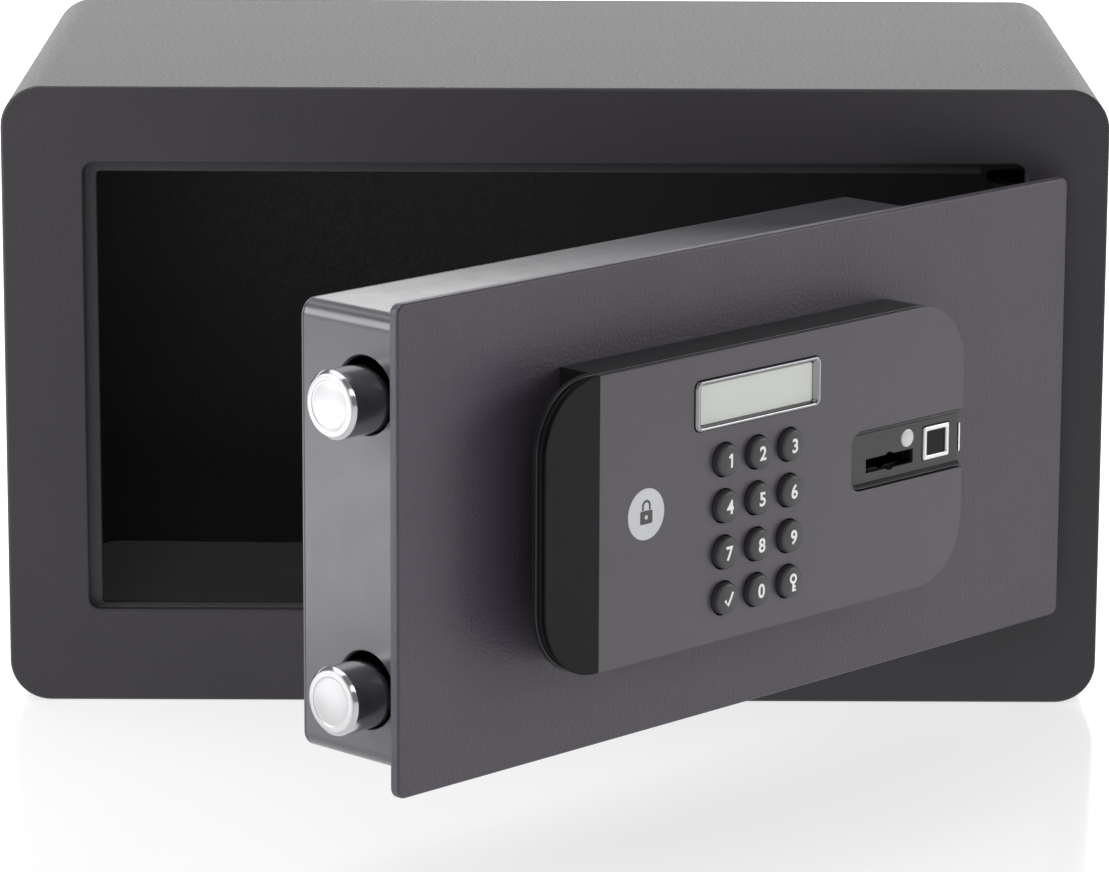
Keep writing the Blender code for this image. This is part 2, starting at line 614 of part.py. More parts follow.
def port_outline(grow):
    u0, u1, z0, z1 = PORT
    return square_box(u0 - grow, u1 + grow, z0 - grow, z1 + grow)


def fascia_base(make, black):
    """A moulding with a hollow back. Its left end is undercut, so fingers can pull the door open."""
    body = fascia_outline(FASCIA_U0, FASCIA_U1, FASCIA_LEFT_R, FASCIA_RIGHT_R)
    half, rise = KEYWAY_HALF + GAP, KEYWAY_R + GAP
    key_way = square_box(KEYWAY_U - half, KEYWAY_U + half, KEYWAY_Z - rise, KEYWAY_Z + rise)
    solid = plate([body, *key_holes(), key_way, port_outline(GAP)], GAP, FASCIA_SEAM, "y")
    base = make.add("fascia_base", solid, black)
    low, high = FASCIA_Z0 - SHEET, FASCIA_Z1 + SHEET
    make.cut(base, block(FASCIA_U0 - SHEET, PULL_U, -SHEET, PULL_BACK, low, high), "finger_pull")
    w, r = SHELL_WALL, SHELL_INNER_R
    inside = rounded_box(PULL_U + w, FASCIA_U1 - w, FASCIA_Z0 + w, FASCIA_Z1 - w, (w, r, r, w))
    make.cut(base, plate([inside], -SHEET, FASCIA_WALL_S, "y"), "hollow")


def fascia_front(make, satin, gloss):
    back = FASCIA_SEAM + GAP
    cap = fascia_outline(FASCIA_U0, CAP_SPLIT_U - GAP / 2, FASCIA_LEFT_R, 0)
    make.add("pull_end_cap", plate([cap], back, FASCIA_FRONT, "y"), gloss)
    face = fascia_outline(CAP_SPLIT_U + GAP / 2, FASCIA_U1, 0, FASCIA_RIGHT_R)
    u0, u1, z0, z1 = LCD
    window = rounded_box(u0 - GAP, u1 + GAP, z0 - GAP, z1 + GAP, LCD_R + GAP, CORNER_SMALL)
    front = make.add("fascia_plate", plate([face, window, *key_holes()], back, FASCIA_FRONT, "y"), satin)
    corners = (PANEL_R, GAP, GAP, PANEL_R)
    notch = rounded_box(PANEL_U0, FASCIA_U1 + SHEET, PANEL_Z0, PANEL_Z1, corners)
    make.cut(front, plate([notch], back - GAP, FASCIA_FRONT + GAP, "y"), "service_notch")
    seat = rod(BADGE_U, BADGE_Z, BADGE_R + GAP, FASCIA_FRONT - BADGE_DEPTH, FASCIA_FRONT + GAP, "y")
    make.cut(front, seat, "badge_seat")


def display(make, chrome, glass):
    u0, u1, z0, z1 = LCD
    side, lip = LCD_RIM, LCD_RIM / 2
    back, top = FASCIA_SEAM + GAP, FASCIA_FRONT + LCD_PROUD

    def inner(gap):
        a, b = side + gap, lip + gap
        return rounded_box(u0 + a, u1 - a, z0 + b, z1 - b, LCD_R / 2 - gap, CORNER_SMALL)

    outer = rounded_box(u0, u1, z0, z1, LCD_R, CORNER_SMALL)
    make.add("display_bezel", plate([outer, inner(0)], back, top, "y"), chrome)
    make.add("display_screen", plate([inner(GAP)], back, LCD_SCREEN_TOP, "y"), glass)


def badge(make, silver):
    lo, hi = FASCIA_FRONT - BADGE_DEPTH + GAP, FASCIA_FRONT + BADGE_PROUD
    make.add("badge_disc", rod(BADGE_U, BADGE_Z, BADGE_R, lo, hi, "y"), silver)


def keypad(make, rubber, board):
    make.add("keypad_board", block(*KEY_BOARD), board)
    rise = KEY_TOP - KEY_SHOULDER
    profile = [(KEY_FLANGE_R, KEY_FOOT), (KEY_FLANGE_R, KEY_FLANGE_TOP), (KEY_R, KEY_FLANGE_TOP)]
    profile += [(KEY_R * across, KEY_SHOULDER + rise * up) for across, up in KEY_CROWN]
    profile.append((0, KEY_TOP))
    for row, z in zip(KEY_NAMES, KEY_Z):
        for name, u in zip(row, KEY_U):
            make.add(name, turned(u, z, profile, "y", ROUND_SMALL), rubber, (u, FASCIA_FRONT, z))


def service_panel(make, plastic, chrome, dark, lens):
    back = FASCIA_SEAM + GAP
    r = PANEL_R - GAP
    outline = rounded_box(PANEL_U0 + GAP, FASCIA_U1, PANEL_Z0 + GAP, PANEL_Z1 - GAP, (r, GAP, GAP, r))
    lamp_hole = circle(LENS_U, LENS_Z, LENS_R + GAP, ROUND_SMALL)
    solid = plate([outline, keyway(), port_outline(GAP), lamp_hole], back, PANEL_TOP, "y")
    make.add("service_panel", solid, plastic)
    w = PORT_WALL
    shell, insert = [port_outline(0), port_outline(-w)], [port_outline(-w - GAP)]
    make.add("service_port_shell", plate(shell, PORT_BACK, PORT_FRONT, "y"), chrome)
    make.add("service_port_insert", plate(insert, PORT_BACK, PORT_INSERT_FRONT, "y"), dark)
    rise = LENS_TOP - PANEL_TOP
    dome = [(LENS_R, back)] + [(LENS_R * across, PANEL_TOP + rise * up) for across, up in LENS_CROWN]
    make.add("indicator_lens", turned(LENS_U, LENS_Z, dome, "y", ROUND_SMALL), lens)
    make.add("cover_catch", block(*CATCH), chrome)


def override_lock(make, zinc, dark):
    u0, u1, s0, s1, z0, z1 = LOCK_CASE
    case = [square_box(u0, u1, z0, z1), circle(KEYWAY_U, KEYWAY_Z, ROTOR_BORE)]
    make.add("override_lock_case", plate(case, s0, s1, "y"), zinc)
    middle = (KEYWAY_U, (ROTOR_S0 + ROTOR_S1) / 2, KEYWAY_Z)
    rotor = [circle(KEYWAY_U, KEYWAY_Z, ROTOR_R), keyway()]
    make.add("override_lock_rotor", plate(rotor, ROTOR_S0, ROTOR_S1, "y"), dark, middle)


def build():
    clear_scene()
    safe = new_collection("in_room_safe")
    cutters = new_collection("cutters")
    body_paint = material("body_paint", (0.055, 0.053, 0.058), 0.0, 0.45)
    door_paint = material("door_paint", (0.115, 0.110, 0.122), 0.1, 0.40)
    housing_paint = material("housing_paint", (0.150, 0.148, 0.158), 0.1, 0.40)
    zinc_steel = material("zinc_steel", (0.50, 0.50, 0.52), 1.0, 0.35)
    chrome = material("chrome", (0.80, 0.80, 0.82), 1.0, 0.12)
    dark_steel = material("dark_steel", (0.030, 0.030, 0.032), 1.0, 0.45)
    felt = material("felt", (0.010, 0.010, 0.011), 0.0, 0.95)
    black = material("black_plastic", (0.012, 0.012, 0.013), 0.0, 0.35)
    gloss = material("gloss_black", (0.010, 0.010, 0.011), 0.0, 0.10)
    satin = material("satin_grey", (0.120, 0.116, 0.125), 0.3, 0.35)
    key_black = material("key_rubber", (0.030, 0.030, 0.032), 0.0, 0.50)
    panel_grey = material("panel_plastic", (0.050, 0.050, 0.052), 0.0, 0.50)
    pale_glass = material("display_glass", (0.60, 0.62, 0.58), 0.0, 0.15)
    silver = material("badge_silver", (0.65, 0.66, 0.68), 0.2, 0.35)
    white_lens = material("lens_plastic", (0.75, 0.75, 0.75), 0.0, 0.25)
    green_board = material("circuit_board", (0.02, 0.12, 0.05), 0.0, 0.50)
    cell_label = material("battery_label", (0.20, 0.20, 0.22), 0.3, 0.40)

    fixed = Maker(safe, cutters)
    cabinet_shell(fixed, body_paint)
    front_frame(fixed, body_paint)
    back_panel(fixed, body_paint)
    floor_mat(fixed, felt)
    strike_bar(fixed, zinc_steel)
    for word, arm_z in (("upper", UPPER_ARM_Z), ("lower", LOWER_ARM_Z)):
        hinge_bracket(fixed, dark_steel, f"{word}_hinge_bracket", arm_z)
        hinge_pin(fixed, chrome, f"{word}_hinge_pin", arm_z)

    hinge = empty("door_hinge_axis", (PIVOT_X, PIVOT_Y, 0), OPEN_ANGLE, safe)
    door = Maker(safe, cutters, hinge)
    for word, arm_z in (("upper", UPPER_ARM_Z), ("lower", LOWER_ARM_Z)):
        hinge_arm(door, dark_steel, f"{word}_hinge_arm", arm_z)
    door_plate(door, door_paint)
    lock_housing(door, housing_paint)
    cover_screws(door, zinc_steel, rear_cover(door, housing_paint))
    bolt_guides(door, black)
    bolts(door, chrome)
    bolt_carriage(door, zinc_steel)
    drive_pinion(door, zinc_steel)
    drive_unit(door, zinc_steel, chrome)
    power_and_control(door, green_board, black, cell_label)
    fascia_base(door, black)
    fascia_front(door, satin, gloss)
    display(door, chrome, pale_glass)
    badge(door, silver)
    keypad(door, key_black, green_board)
    service_panel(door, panel_grey, chrome, black, white_lens)
    override_lock(door, zinc_steel, dark_steel)


build()
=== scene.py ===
"""Looks of the in-room safe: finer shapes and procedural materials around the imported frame.

Units are metres in the frame's axes: +Z up, front to -Y. Door pieces are drawn in the door's own
space, with x from the free edge towards the hinge, y rearwards from the door's face and z the height.
"""
import json
import math
import bmesh
import bpy
from mathutils import Matrix, Vector


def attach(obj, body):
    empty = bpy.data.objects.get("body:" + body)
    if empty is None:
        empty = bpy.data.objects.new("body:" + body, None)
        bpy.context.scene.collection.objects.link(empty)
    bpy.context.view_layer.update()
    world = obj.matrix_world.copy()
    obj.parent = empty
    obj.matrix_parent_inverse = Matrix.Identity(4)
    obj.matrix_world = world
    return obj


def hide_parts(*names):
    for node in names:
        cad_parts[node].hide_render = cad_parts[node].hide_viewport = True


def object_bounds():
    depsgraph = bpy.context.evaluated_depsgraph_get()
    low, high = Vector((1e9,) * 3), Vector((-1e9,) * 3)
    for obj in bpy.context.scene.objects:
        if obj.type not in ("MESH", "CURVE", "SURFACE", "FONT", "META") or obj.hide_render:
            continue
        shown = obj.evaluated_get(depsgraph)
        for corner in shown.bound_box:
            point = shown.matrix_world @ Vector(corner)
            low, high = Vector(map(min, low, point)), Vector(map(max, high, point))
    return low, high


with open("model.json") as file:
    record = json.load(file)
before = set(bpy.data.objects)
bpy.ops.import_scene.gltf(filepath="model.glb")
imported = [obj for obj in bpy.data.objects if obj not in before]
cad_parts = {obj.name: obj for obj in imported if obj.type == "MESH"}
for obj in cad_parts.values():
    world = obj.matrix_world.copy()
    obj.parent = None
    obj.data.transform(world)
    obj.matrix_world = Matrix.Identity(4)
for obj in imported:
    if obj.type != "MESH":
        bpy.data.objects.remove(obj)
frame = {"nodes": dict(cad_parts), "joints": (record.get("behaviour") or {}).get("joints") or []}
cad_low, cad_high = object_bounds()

# segments of a rounded corner and of a circle
STEPS = 12
ROUND = 64

# camera, fitted to the cabinet's edges
LENS, SENSOR = 170.6, 36.0
CAMERA_AT = Vector((-0.0054, -1.7380, 0.4565))
CAMERA_YAW, CAMERA_PITCH, CAMERA_ROLL = 0.0034, 0.2214, 0.0041

CABINET = Matrix.Identity(4)


def extent(node, space):
    """Lowest and highest corner of a CAD node, measured in a space."""
    inverse = space.inverted()
    points = [inverse @ v.co for v in frame["nodes"][node].data.vertices]
    low = Vector([min(p[i] for p in points) for i in range(3)])
    high = Vector([max(p[i] for p in points) for i in range(3)])
    return low, high


def door_space():
    """The open door's space, with its origin at the face's left edge and at floor height."""
    swing = next(j for j in frame["joints"] if j["name"] == "door_swing")
    pivot = Vector((*swing["pos_m"][:2], 0))
    turn = Matrix.Rotation(math.radians(-swing["range_deg"][0]), 4, "Z")
    opened = Matrix.Translation(pivot) @ turn @ Matrix.Translation(-pivot)
    face = extent("door_plate", opened)[0]
    return opened @ Matrix.Translation((face.x, face.y, 0))


DOOR = door_space()


# materials

# the share of its range that a noise mostly stays in
NOISE_LOW, NOISE_HIGH = 0.3, 0.7


class Paint:
    """A small helper to wire a Principled material."""

    def __init__(self, name, colour, roughness, metallic=0.0, **sockets):
        self.material = bpy.data.materials.new(name)
        self.material.use_nodes = True
        self.tree = self.material.node_tree
        self.shader = self.tree.nodes["Principled BSDF"]
        self.set(self.shader, "Base Color", (*colour, 1))
        self.set(self.shader, "Roughness", roughness)
        self.set(self.shader, "Metallic", metallic)
        for key, value in sockets.items():
            self.set(self.shader, key.replace("_", " "), value)
        self.colour = colour
        self.roughness = roughness

    @staticmethod
    def set(node, socket, value):
        node.inputs[socket].default_value = value

    def node(self, kind, **sockets):
        made = self.tree.nodes.new(kind)
        for key, value in sockets.items():
            self.set(made, key.replace("_", " "), value)
        return made

    def link(self, source, target, socket):
        self.tree.links.new(source, target.inputs[socket])

    def place(self, scale=(1, 1, 1)):
        coordinates = self.node("ShaderNodeTexCoord").outputs["Object"]
        if scale == (1, 1, 1):
            return coordinates
        mapping = self.node("ShaderNodeMapping")
        self.set(mapping, "Scale", scale)
        self.link(coordinates, mapping, "Vector")
        return mapping.outputs["Vector"]

    def noise(self, per_metre, detail=3.0, stretch=(1, 1, 1), roughness=0.5):
        made = self.node("ShaderNodeTexNoise", Scale=per_metre, Detail=detail, Roughness=roughness)
        self.link(self.place(stretch), made, "Vector")
        return made.outputs["Fac"]

    def spread(self, source, low, high, start=NOISE_LOW, end=NOISE_HIGH):
        """Maps a source that runs from start to end on to low to high."""
        made = self.node("ShaderNodeMapRange")
        for socket, value in (("From Min", start), ("From Max", end), ("To Min", low), ("To Max", high)):
            self.set(made, socket, value)
        self.link(source, made, "Value")
        return made.outputs["Result"]

    def tint(self, source, share=0.12):
        """Varies the base colour a little, lighter and darker."""
        ramp = self.node("ShaderNodeValToRGB")
        for stop, level in zip(ramp.color_ramp.elements, (1 - share, 1 + share)):
            stop.color = (*(c * level for c in self.colour), 1)
        ramp.color_ramp.elements[0].position = NOISE_LOW
        ramp.color_ramp.elements[1].position = NOISE_HIGH
        self.link(source, ramp, "Fac")
        self.link(ramp.outputs["Color"], self.shader, "Base Color")

    def vary_roughness(self, source, share=0.15):
        low, high = self.roughness * (1 - share), min(1.0, self.roughness * (1 + share))
        self.link(self.spread(source, low, high), self.shader, "Roughness")

    def bump(self, source, strength, depth):
        made = self.node("ShaderNodeBump", Strength=strength, Distance=depth)
        self.link(source, made, "Height")
        self.link(made.outputs["Normal"], self.shader, "Normal")

    def mixed(self, first, second, share=0.5):
        made = self.node("ShaderNodeMix")
        made.data_type = "FLOAT"
        self.set(made, "Factor", share)
        self.link(first, made, "A")
        self.link(second, made, "B")
        return made.outputs["Result"]


def powder_coat(name, colour, roughness, grain=0.00005):
    """Baked powder paint: a leathery fine grain with a faint mottle."""
    paint = Paint(name, colour, roughness, Specular_IOR_Level=0.5)
    coarse = paint.noise(900, 2.0, roughness=0.45)
    fine = paint.noise(2600, 1.0)
    paint.bump(paint.mixed(coarse, fine, 0.35), 0.55, grain * 4)
    paint.tint(paint.noise(35, 4.0), 0.06)
    paint.vary_roughness(coarse, 0.12)
    return paint.material


def semi_gloss(name, colour, roughness):
    """Smooth stoved lacquer that mirrors softly, a little uneven in its gloss."""
    paint = Paint(name, colour, roughness, 0.25, Coat_Weight=0.4, Coat_Roughness=0.16)
    paint.tint(paint.noise(28, 4.0), 0.08)
    paint.vary_roughness(paint.noise(90, 3.0), 0.12)
    return paint.material


def satin_plated(name, colour, roughness):
    """Satin plating without polishing marks, for small trim."""
    paint = Paint(name, colour, roughness, 1.0)
    paint.vary_roughness(paint.noise(500, 3.0), 0.12)
    paint.tint(paint.noise(60, 3.0), 0.05)
    return paint.material


def plated(name, colour, roughness, stretch=(1, 1, 1), per_metre=700):
    """Bright plated steel with a faint directional polish."""
    paint = Paint(name, colour, roughness, 1.0)
    marks = paint.noise(per_metre, 4.0, stretch)
    paint.vary_roughness(marks, 0.35)
    paint.bump(marks, 0.15, 0.00003)
    paint.tint(paint.noise(60, 3.0), 0.05)
    return paint.material


def moulded(name, colour, roughness, per_metre=1800, strength=0.12, **sockets):
    """Moulded plastic: spark-eroded fine texture."""
    paint = Paint(name, colour, roughness, **sockets)
    texture = paint.noise(per_metre, 2.0)
    paint.bump(texture, strength, 0.00006)
    paint.vary_roughness(texture, 0.10)
    paint.tint(paint.noise(50, 3.0), 0.04)
    return paint.material


def felt_material():
    paint = Paint("needle_felt", (0.010, 0.012, 0.013), 0.95, Sheen_Weight=0.4, Sheen_Roughness=0.6)
    fibres = paint.noise(1400, 6.0, (1, 1, 0.4), 0.7)
    paint.bump(paint.mixed(fibres, paint.noise(180, 3.0), 0.4), 0.9, 0.0006)
    paint.tint(paint.noise(120, 5.0), 0.45)
    return paint.material


def board_material():
    paint = Paint("solder_mask", (0.010, 0.095, 0.035), 0.35)
    cells = paint.node("ShaderNodeTexVoronoi", Scale=260.0)
    cells.distance = "CHEBYCHEV"
    paint.link(paint.place(), cells, "Vector")
    paint.tint(cells.outputs["Distance"], 0.45)
    paint.bump(cells.outputs["Distance"], 0.2, 0.0001)
    return paint.material


def cell_material():
    paint = Paint("cell_sleeve", (0.16, 0.17, 0.19), 0.32, 0.4)
    paint.tint(paint.noise(90, 2.0, (1, 1, 0.15)), 0.35)
    paint.bump(paint.noise(600, 2.0, (1, 1, 0.05)), 0.1, 0.00005)
    return paint.material


def bolt_material():
    """Ground steel with polished sides and a satin end."""
    sides, end = (0.53, 0.53, 0.55), (0.52, 0.52, 0.53)
    polished, satin = 0.13, 0.40
    paint = Paint("turned_steel", sides, polished, 1.0)
    tip = extent("upper_bolt", DOOR)[0].x
    along = paint.node("ShaderNodeSeparateXYZ")
    paint.link(paint.place(), along, "Vector")
    at_end = paint.spread(along.outputs["X"], 1.0, 0.0, tip + 0.0002, tip + 0.0005)
    paint.link(paint.spread(at_end, polished, satin, 0.0, 1.0), paint.shader, "Roughness")
    tone = paint.node("ShaderNodeMix")
    tone.data_type = "RGBA"
    for socket, colour in zip([s for s in tone.inputs if s.type == "RGBA"], (sides, end)):
        socket.default_value = (*colour, 1)
    paint.link(at_end, tone, "Factor")
    paint.link(next(s for s in tone.outputs if s.type == "RGBA"), paint.shader, "Base Color")
    paint.bump(paint.noise(500, 4.0, (6, 1, 1)), 0.15, 0.00003)
    return paint.material


def display_material():
    """The reflector of an idle liquid crystal display, seen through its window."""
    paint = Paint("display_reflector", (0.62, 0.645, 0.60), 0.28, Coat_Weight=0.35, Coat_Roughness=0.06)
    paint.tint(paint.noise(40, 2.0), 0.03)
    paint.bump(paint.noise(2400, 1.0), 0.05, 0.00003)
    return paint.material


body_paint = powder_coat("charcoal_powder_coat", (0.033, 0.029, 0.034), 0.50)
# the door's paint is the body's charcoal drawn lighter: painted light for the lamps that fall on the plate;
# its finer grain and lower roughness are its own
lit_door_paint = powder_coat("lit_door_powder_coat", (0.063, 0.053, 0.073), 0.42, 0.00012)
# the lock housing's lacquer is the same charcoal drawn lighter still: painted light for the lamps at the
# left on its end; its gloss and coat are its own
lit_housing_paint = semi_gloss("lit_housing_lacquer", (0.086, 0.082, 0.094), 0.34)
zinc = plated("zinc_plate", (0.52, 0.52, 0.54), 0.45)
bright = plated("bright_plate", (0.84, 0.84, 0.86), 0.10, per_metre=300)
satin_chrome = satin_plated("satin_chrome", (0.27, 0.27, 0.28), 0.20)
nickel = satin_plated("satin_nickel", (0.66, 0.66, 0.67), 0.34)
turned_steel = bolt_material()
dark_steel = plated("blackened_steel", (0.030, 0.030, 0.032), 0.45)
felt = felt_material()
black_plastic = moulded("black_moulding", (0.010, 0.010, 0.011), 0.38)
gloss_black = moulded("gloss_black", (0.006, 0.0055, 0.0065), 0.14, 2500, 0.02, Specular_IOR_Level=0.08)
satin_grey = moulded("satin_grey_lacquer", (0.071, 0.061, 0.075), 0.34, 3000, 0.06)
panel_plastic = moulded("panel_moulding", (0.026, 0.023, 0.026), 0.40)
key_rubber = moulded("key_silicone", (0.045, 0.042, 0.047), 0.40, 2200, 0.10)
legend_ink = moulded("legend_ink", (0.96, 0.96, 0.96), 0.55, 2500, 0.05)
badge_silver = moulded("badge_silver", (0.66, 0.67, 0.69), 0.40, 2500, 0.06)
badge_ink = moulded("badge_ink", (0.060, 0.060, 0.065), 0.45, 2500, 0.05)
lens = moulded("milky_lens", (0.70, 0.70, 0.71), 0.22, 1500, 0.03)
board = board_material()
sleeve = cell_material()
reflector = display_material()


# outlines


def rounded(a0, a1, b0, b1, radii, steps=STEPS):
    """A rectangle with corner radii in the order a0b0, a1b0, a1b1, a0b1."""
    if not isinstance(radii, tuple):
        radii = (radii,) * 4
    signs = ((1, 1), (-1, 1), (-1, -1), (1, -1))
    corners = ((a0, b0), (a1, b0), (a1, b1), (a0, b1))
    points = []
    for k, ((a, b), (sa, sb), r) in enumerate(zip(corners, signs, radii)):
        r = max(r, 1e-5)
        for i in range(steps + 1):
            t = math.pi + (k + i / steps) * math.pi / 2
            points.append((a + sa * r + r * math.cos(t), b + sb * r + r * math.sin(t)))
    return points


def inset_box(low, high, inset, radii, steps=STEPS):
    """The rounded outline of a piece as seen from the front, drawn in by a little on all sides."""
    return rounded(low.x + inset, high.x - inset, low.z + inset, high.z - inset, radii, steps)


def disc(a, b, r, steps=ROUND):
    """A circle round (a, b)."""
    turns = [2 * math.pi * i / steps for i in range(steps)]
    return [(a + r * math.cos(t), b + r * math.sin(t)) for t in turns]


def middle_of(low, high):
    """Centre of a piece as seen from the front."""
    return (low.x + high.x) / 2, (low.z + high.z) / 2


def level(outline, height, axis):
    """A flat outline put across an axis, at a height along it."""
    if axis == "x":
        return [(height, a, b) for a, b in outline]
    if axis == "y":
        return [(a, height, b) for a, b in outline]
    return [(a, b, height) for a, b in outline]


# shapes

# faces whose normal is this close to an axis are flats
FLAT = 0.99999


def shade(mesh, angle=35, flats=True):
    """Smooth shading, with sharp edges where faces meet at a steep angle and flat shading on the flats."""
    mesh.shade_smooth()
    mesh.set_sharp_from_angle(angle=math.radians(angle))
    if flats:
        for face in mesh.polygons:
            if max(abs(c) for c in face.normal) > FLAT:
                face.use_smooth = False


def new_piece(name, mesh, space, body, surface, nodes=()):
    """Adds a visible piece that rides on a body and stands for the given CAD nodes."""
    piece = bpy.data.objects.new(name, mesh)
    bpy.context.scene.collection.objects.link(piece)
    piece.matrix_world = space
    mesh.materials.clear()
    mesh.materials.append(surface)
    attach(piece, body)
    if nodes:
        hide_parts(*nodes)
    return piece


def door_piece(name, mesh, surface, node=None):
    new_piece(name, mesh, DOOR, "door", surface, [node] if node else ())


def closed_mesh(name, work, angle=35, flats=True):
    bmesh.ops.remove_doubles(work, verts=work.verts, dist=1e-6)
    bmesh.ops.recalc_face_normals(work, faces=work.faces)
    mesh = bpy.data.meshes.new(name)
    work.to_mesh(mesh)
    work.free()
    shade(mesh, angle, flats)
    return mesh


def loft(name, loops, ring=False, angle=35, flats=True):
    """Skin over loops with the same number of points. A ring closes on itself and the rest get flat ends."""
    work = bmesh.new()
    rows = [[work.verts.new(p) for p in loop] for loop in loops]
    pairs = list(zip(rows, rows[1:])) + ([(rows[-1], rows[0])] if ring else [])
    for one, other in pairs:
        for k in range(len(one)):
            n = (k + 1) % len(one)
            work.faces.new((one[k], one[n], other[n], other[k]))
    if not ring:
        work.faces.new(rows[0])
        work.faces.new(rows[-1])
    return closed_mesh(name, work, angle, flats)


def prism(name, outline, levels, axis="y"):
    """A straight solid between two levels."""
    return loft(name, [level(outline, height, axis) for height in levels])


def flat_curve(name, outlines):
    """A filled flat curve: the first outline, pierced by the others."""
    curve = bpy.data.curves.new(name, "CURVE")
    curve.dimensions = "2D"
    curve.fill_mode = "BOTH"
    for outline in outlines:
        spline = curve.splines.new("POLY")
        spline.points.add(len(outline) - 1)
        spline.points.foreach_set("co", [c for a, b in outline for c in (a, b, 0, 1)])
        spline.use_cyclic_u = True
    return curve


def editable(curve):
    """The mesh of a curve, open for editing. The curve itself is removed."""
    drawn = bpy.data.objects.new(curve.name, curve)
    bpy.context.scene.collection.objects.link(drawn)
    graph = bpy.context.evaluated_depsgraph_get()
    mesh = bpy.data.meshes.new_from_object(drawn.evaluated_get(graph))
    bpy.data.objects.remove(drawn)
    bpy.data.curves.remove(curve)
    work = bmesh.new()
    work.from_mesh(mesh)
    bpy.data.meshes.remove(mesh)
    return work


def slab(name, outlines, low, high, edge=0.0004, resolution=3):
    """A plate between two levels in y with rounded edges: the first outline, pierced by the others."""
    curve = flat_curve(name, outlines)
    curve.extrude = (high - low) / 2 - edge
    curve.bevel_depth = edge
    curve.bevel_resolution = resolution
    curve.offset = -edge
    work = editable(curve)
    upright = Matrix.Translation((0, (low + high) / 2, 0)) @ Matrix.Rotation(math.pi / 2, 4, "X")
    work.transform(upright)
    return closed_mesh(name, work)


def lathe(name, centre, profile, axis="y", steps=ROUND, angle=35):
    """A turned solid from (radius, level) pairs."""
    loops = [level(disc(*centre, max(r, 1e-5), steps), height, axis) for r, height in profile]
    return loft(name, loops, angle=angle, flats=False)


def arc(radius, height, size, start, end, steps=5):
    """Points of a rounding in a lathe profile: centre (radius, height), angles in degrees."""
    turns = [math.radians(start + (end - start) * i / steps) for i in range(steps + 1)]
    return [(radius + size * math.cos(t), height + size * math.sin(t)) for t in turns]


def cut(mesh, cutters):
    """The mesh without the cutter meshes."""
    target = bpy.data.objects.new("target", mesh)
    bpy.context.scene.collection.objects.link(target)
    tools = []
    for cutter in cutters:
        tool = bpy.data.objects.new("tool", cutter)
        bpy.context.scene.collection.objects.link(tool)
        tools.append(tool)
        modifier = target.modifiers.new("cut", "BOOLEAN")
        modifier.object = tool
        modifier.solver = "EXACT"
    graph = bpy.context.evaluated_depsgraph_get()
    made = bpy.data.meshes.new_from_object(target.evaluated_get(graph))
    name = mesh.name
    for thing in [target, *tools]:
        data = thing.data
        bpy.data.objects.remove(thing)
        bpy.data.meshes.remove(data)
    made.name = name
    shade(made)
    return made


def merge(name, *meshes):
    """Several closed meshes in one piece."""
    work = bmesh.new()
    for mesh in meshes:
        work.from_mesh(mesh)
        bpy.data.meshes.remove(mesh)
    mesh = bpy.data.meshes.new(name)
    work.to_mesh(mesh)
    work.free()
    return mesh


# cabinet

ANCHOR_X, ANCHOR_R, ANCHOR_BACK_Z = 0.060, 0.005, 0.060


def anchor_holes(across):
    return [disc(x, across, ANCHOR_R, 40) for x in (-ANCHOR_X, ANCHOR_X)]


def steel_piece(name, mesh, node):
    new_piece(name, mesh, CABINET, "cabinet", body_paint, [node])


def cabinet():
    """The wrapped body, its front and its back."""
    low, high = extent("cabinet_shell", CABINET)
    front, back = extent("front_frame", CABINET)[0].y, extent("back_panel", CABINET)[1].y
    sheet, corner, fold = 0.003, 0.013, 0.0009
    seam_front, seam_back = front + sheet, back - sheet

    def outline(inset):
        return inset_box(low, high, inset, corner - inset)

    corners = ((0, seam_front), (0, seam_back), (sheet, seam_back), (sheet, seam_front))
    shell = loft("cabinet_shell_fine", [level(outline(i), y, "y") for i, y in corners], ring=True)
    anchors = [prism("hole", hole, (-sheet, 2 * sheet), "z") for hole in anchor_holes(0)]
    steel_piece("cabinet_walls", cut(shell, anchors), "cabinet_shell")
    steel_piece("front_face", front_panel(outline, front, seam_front, fold), "front_frame")
    back_outlines = [outline(0), *anchor_holes(ANCHOR_BACK_Z)]
    steel_piece("back_wall", slab("back_panel_fine", back_outlines, seam_back, back, fold), "back_panel")


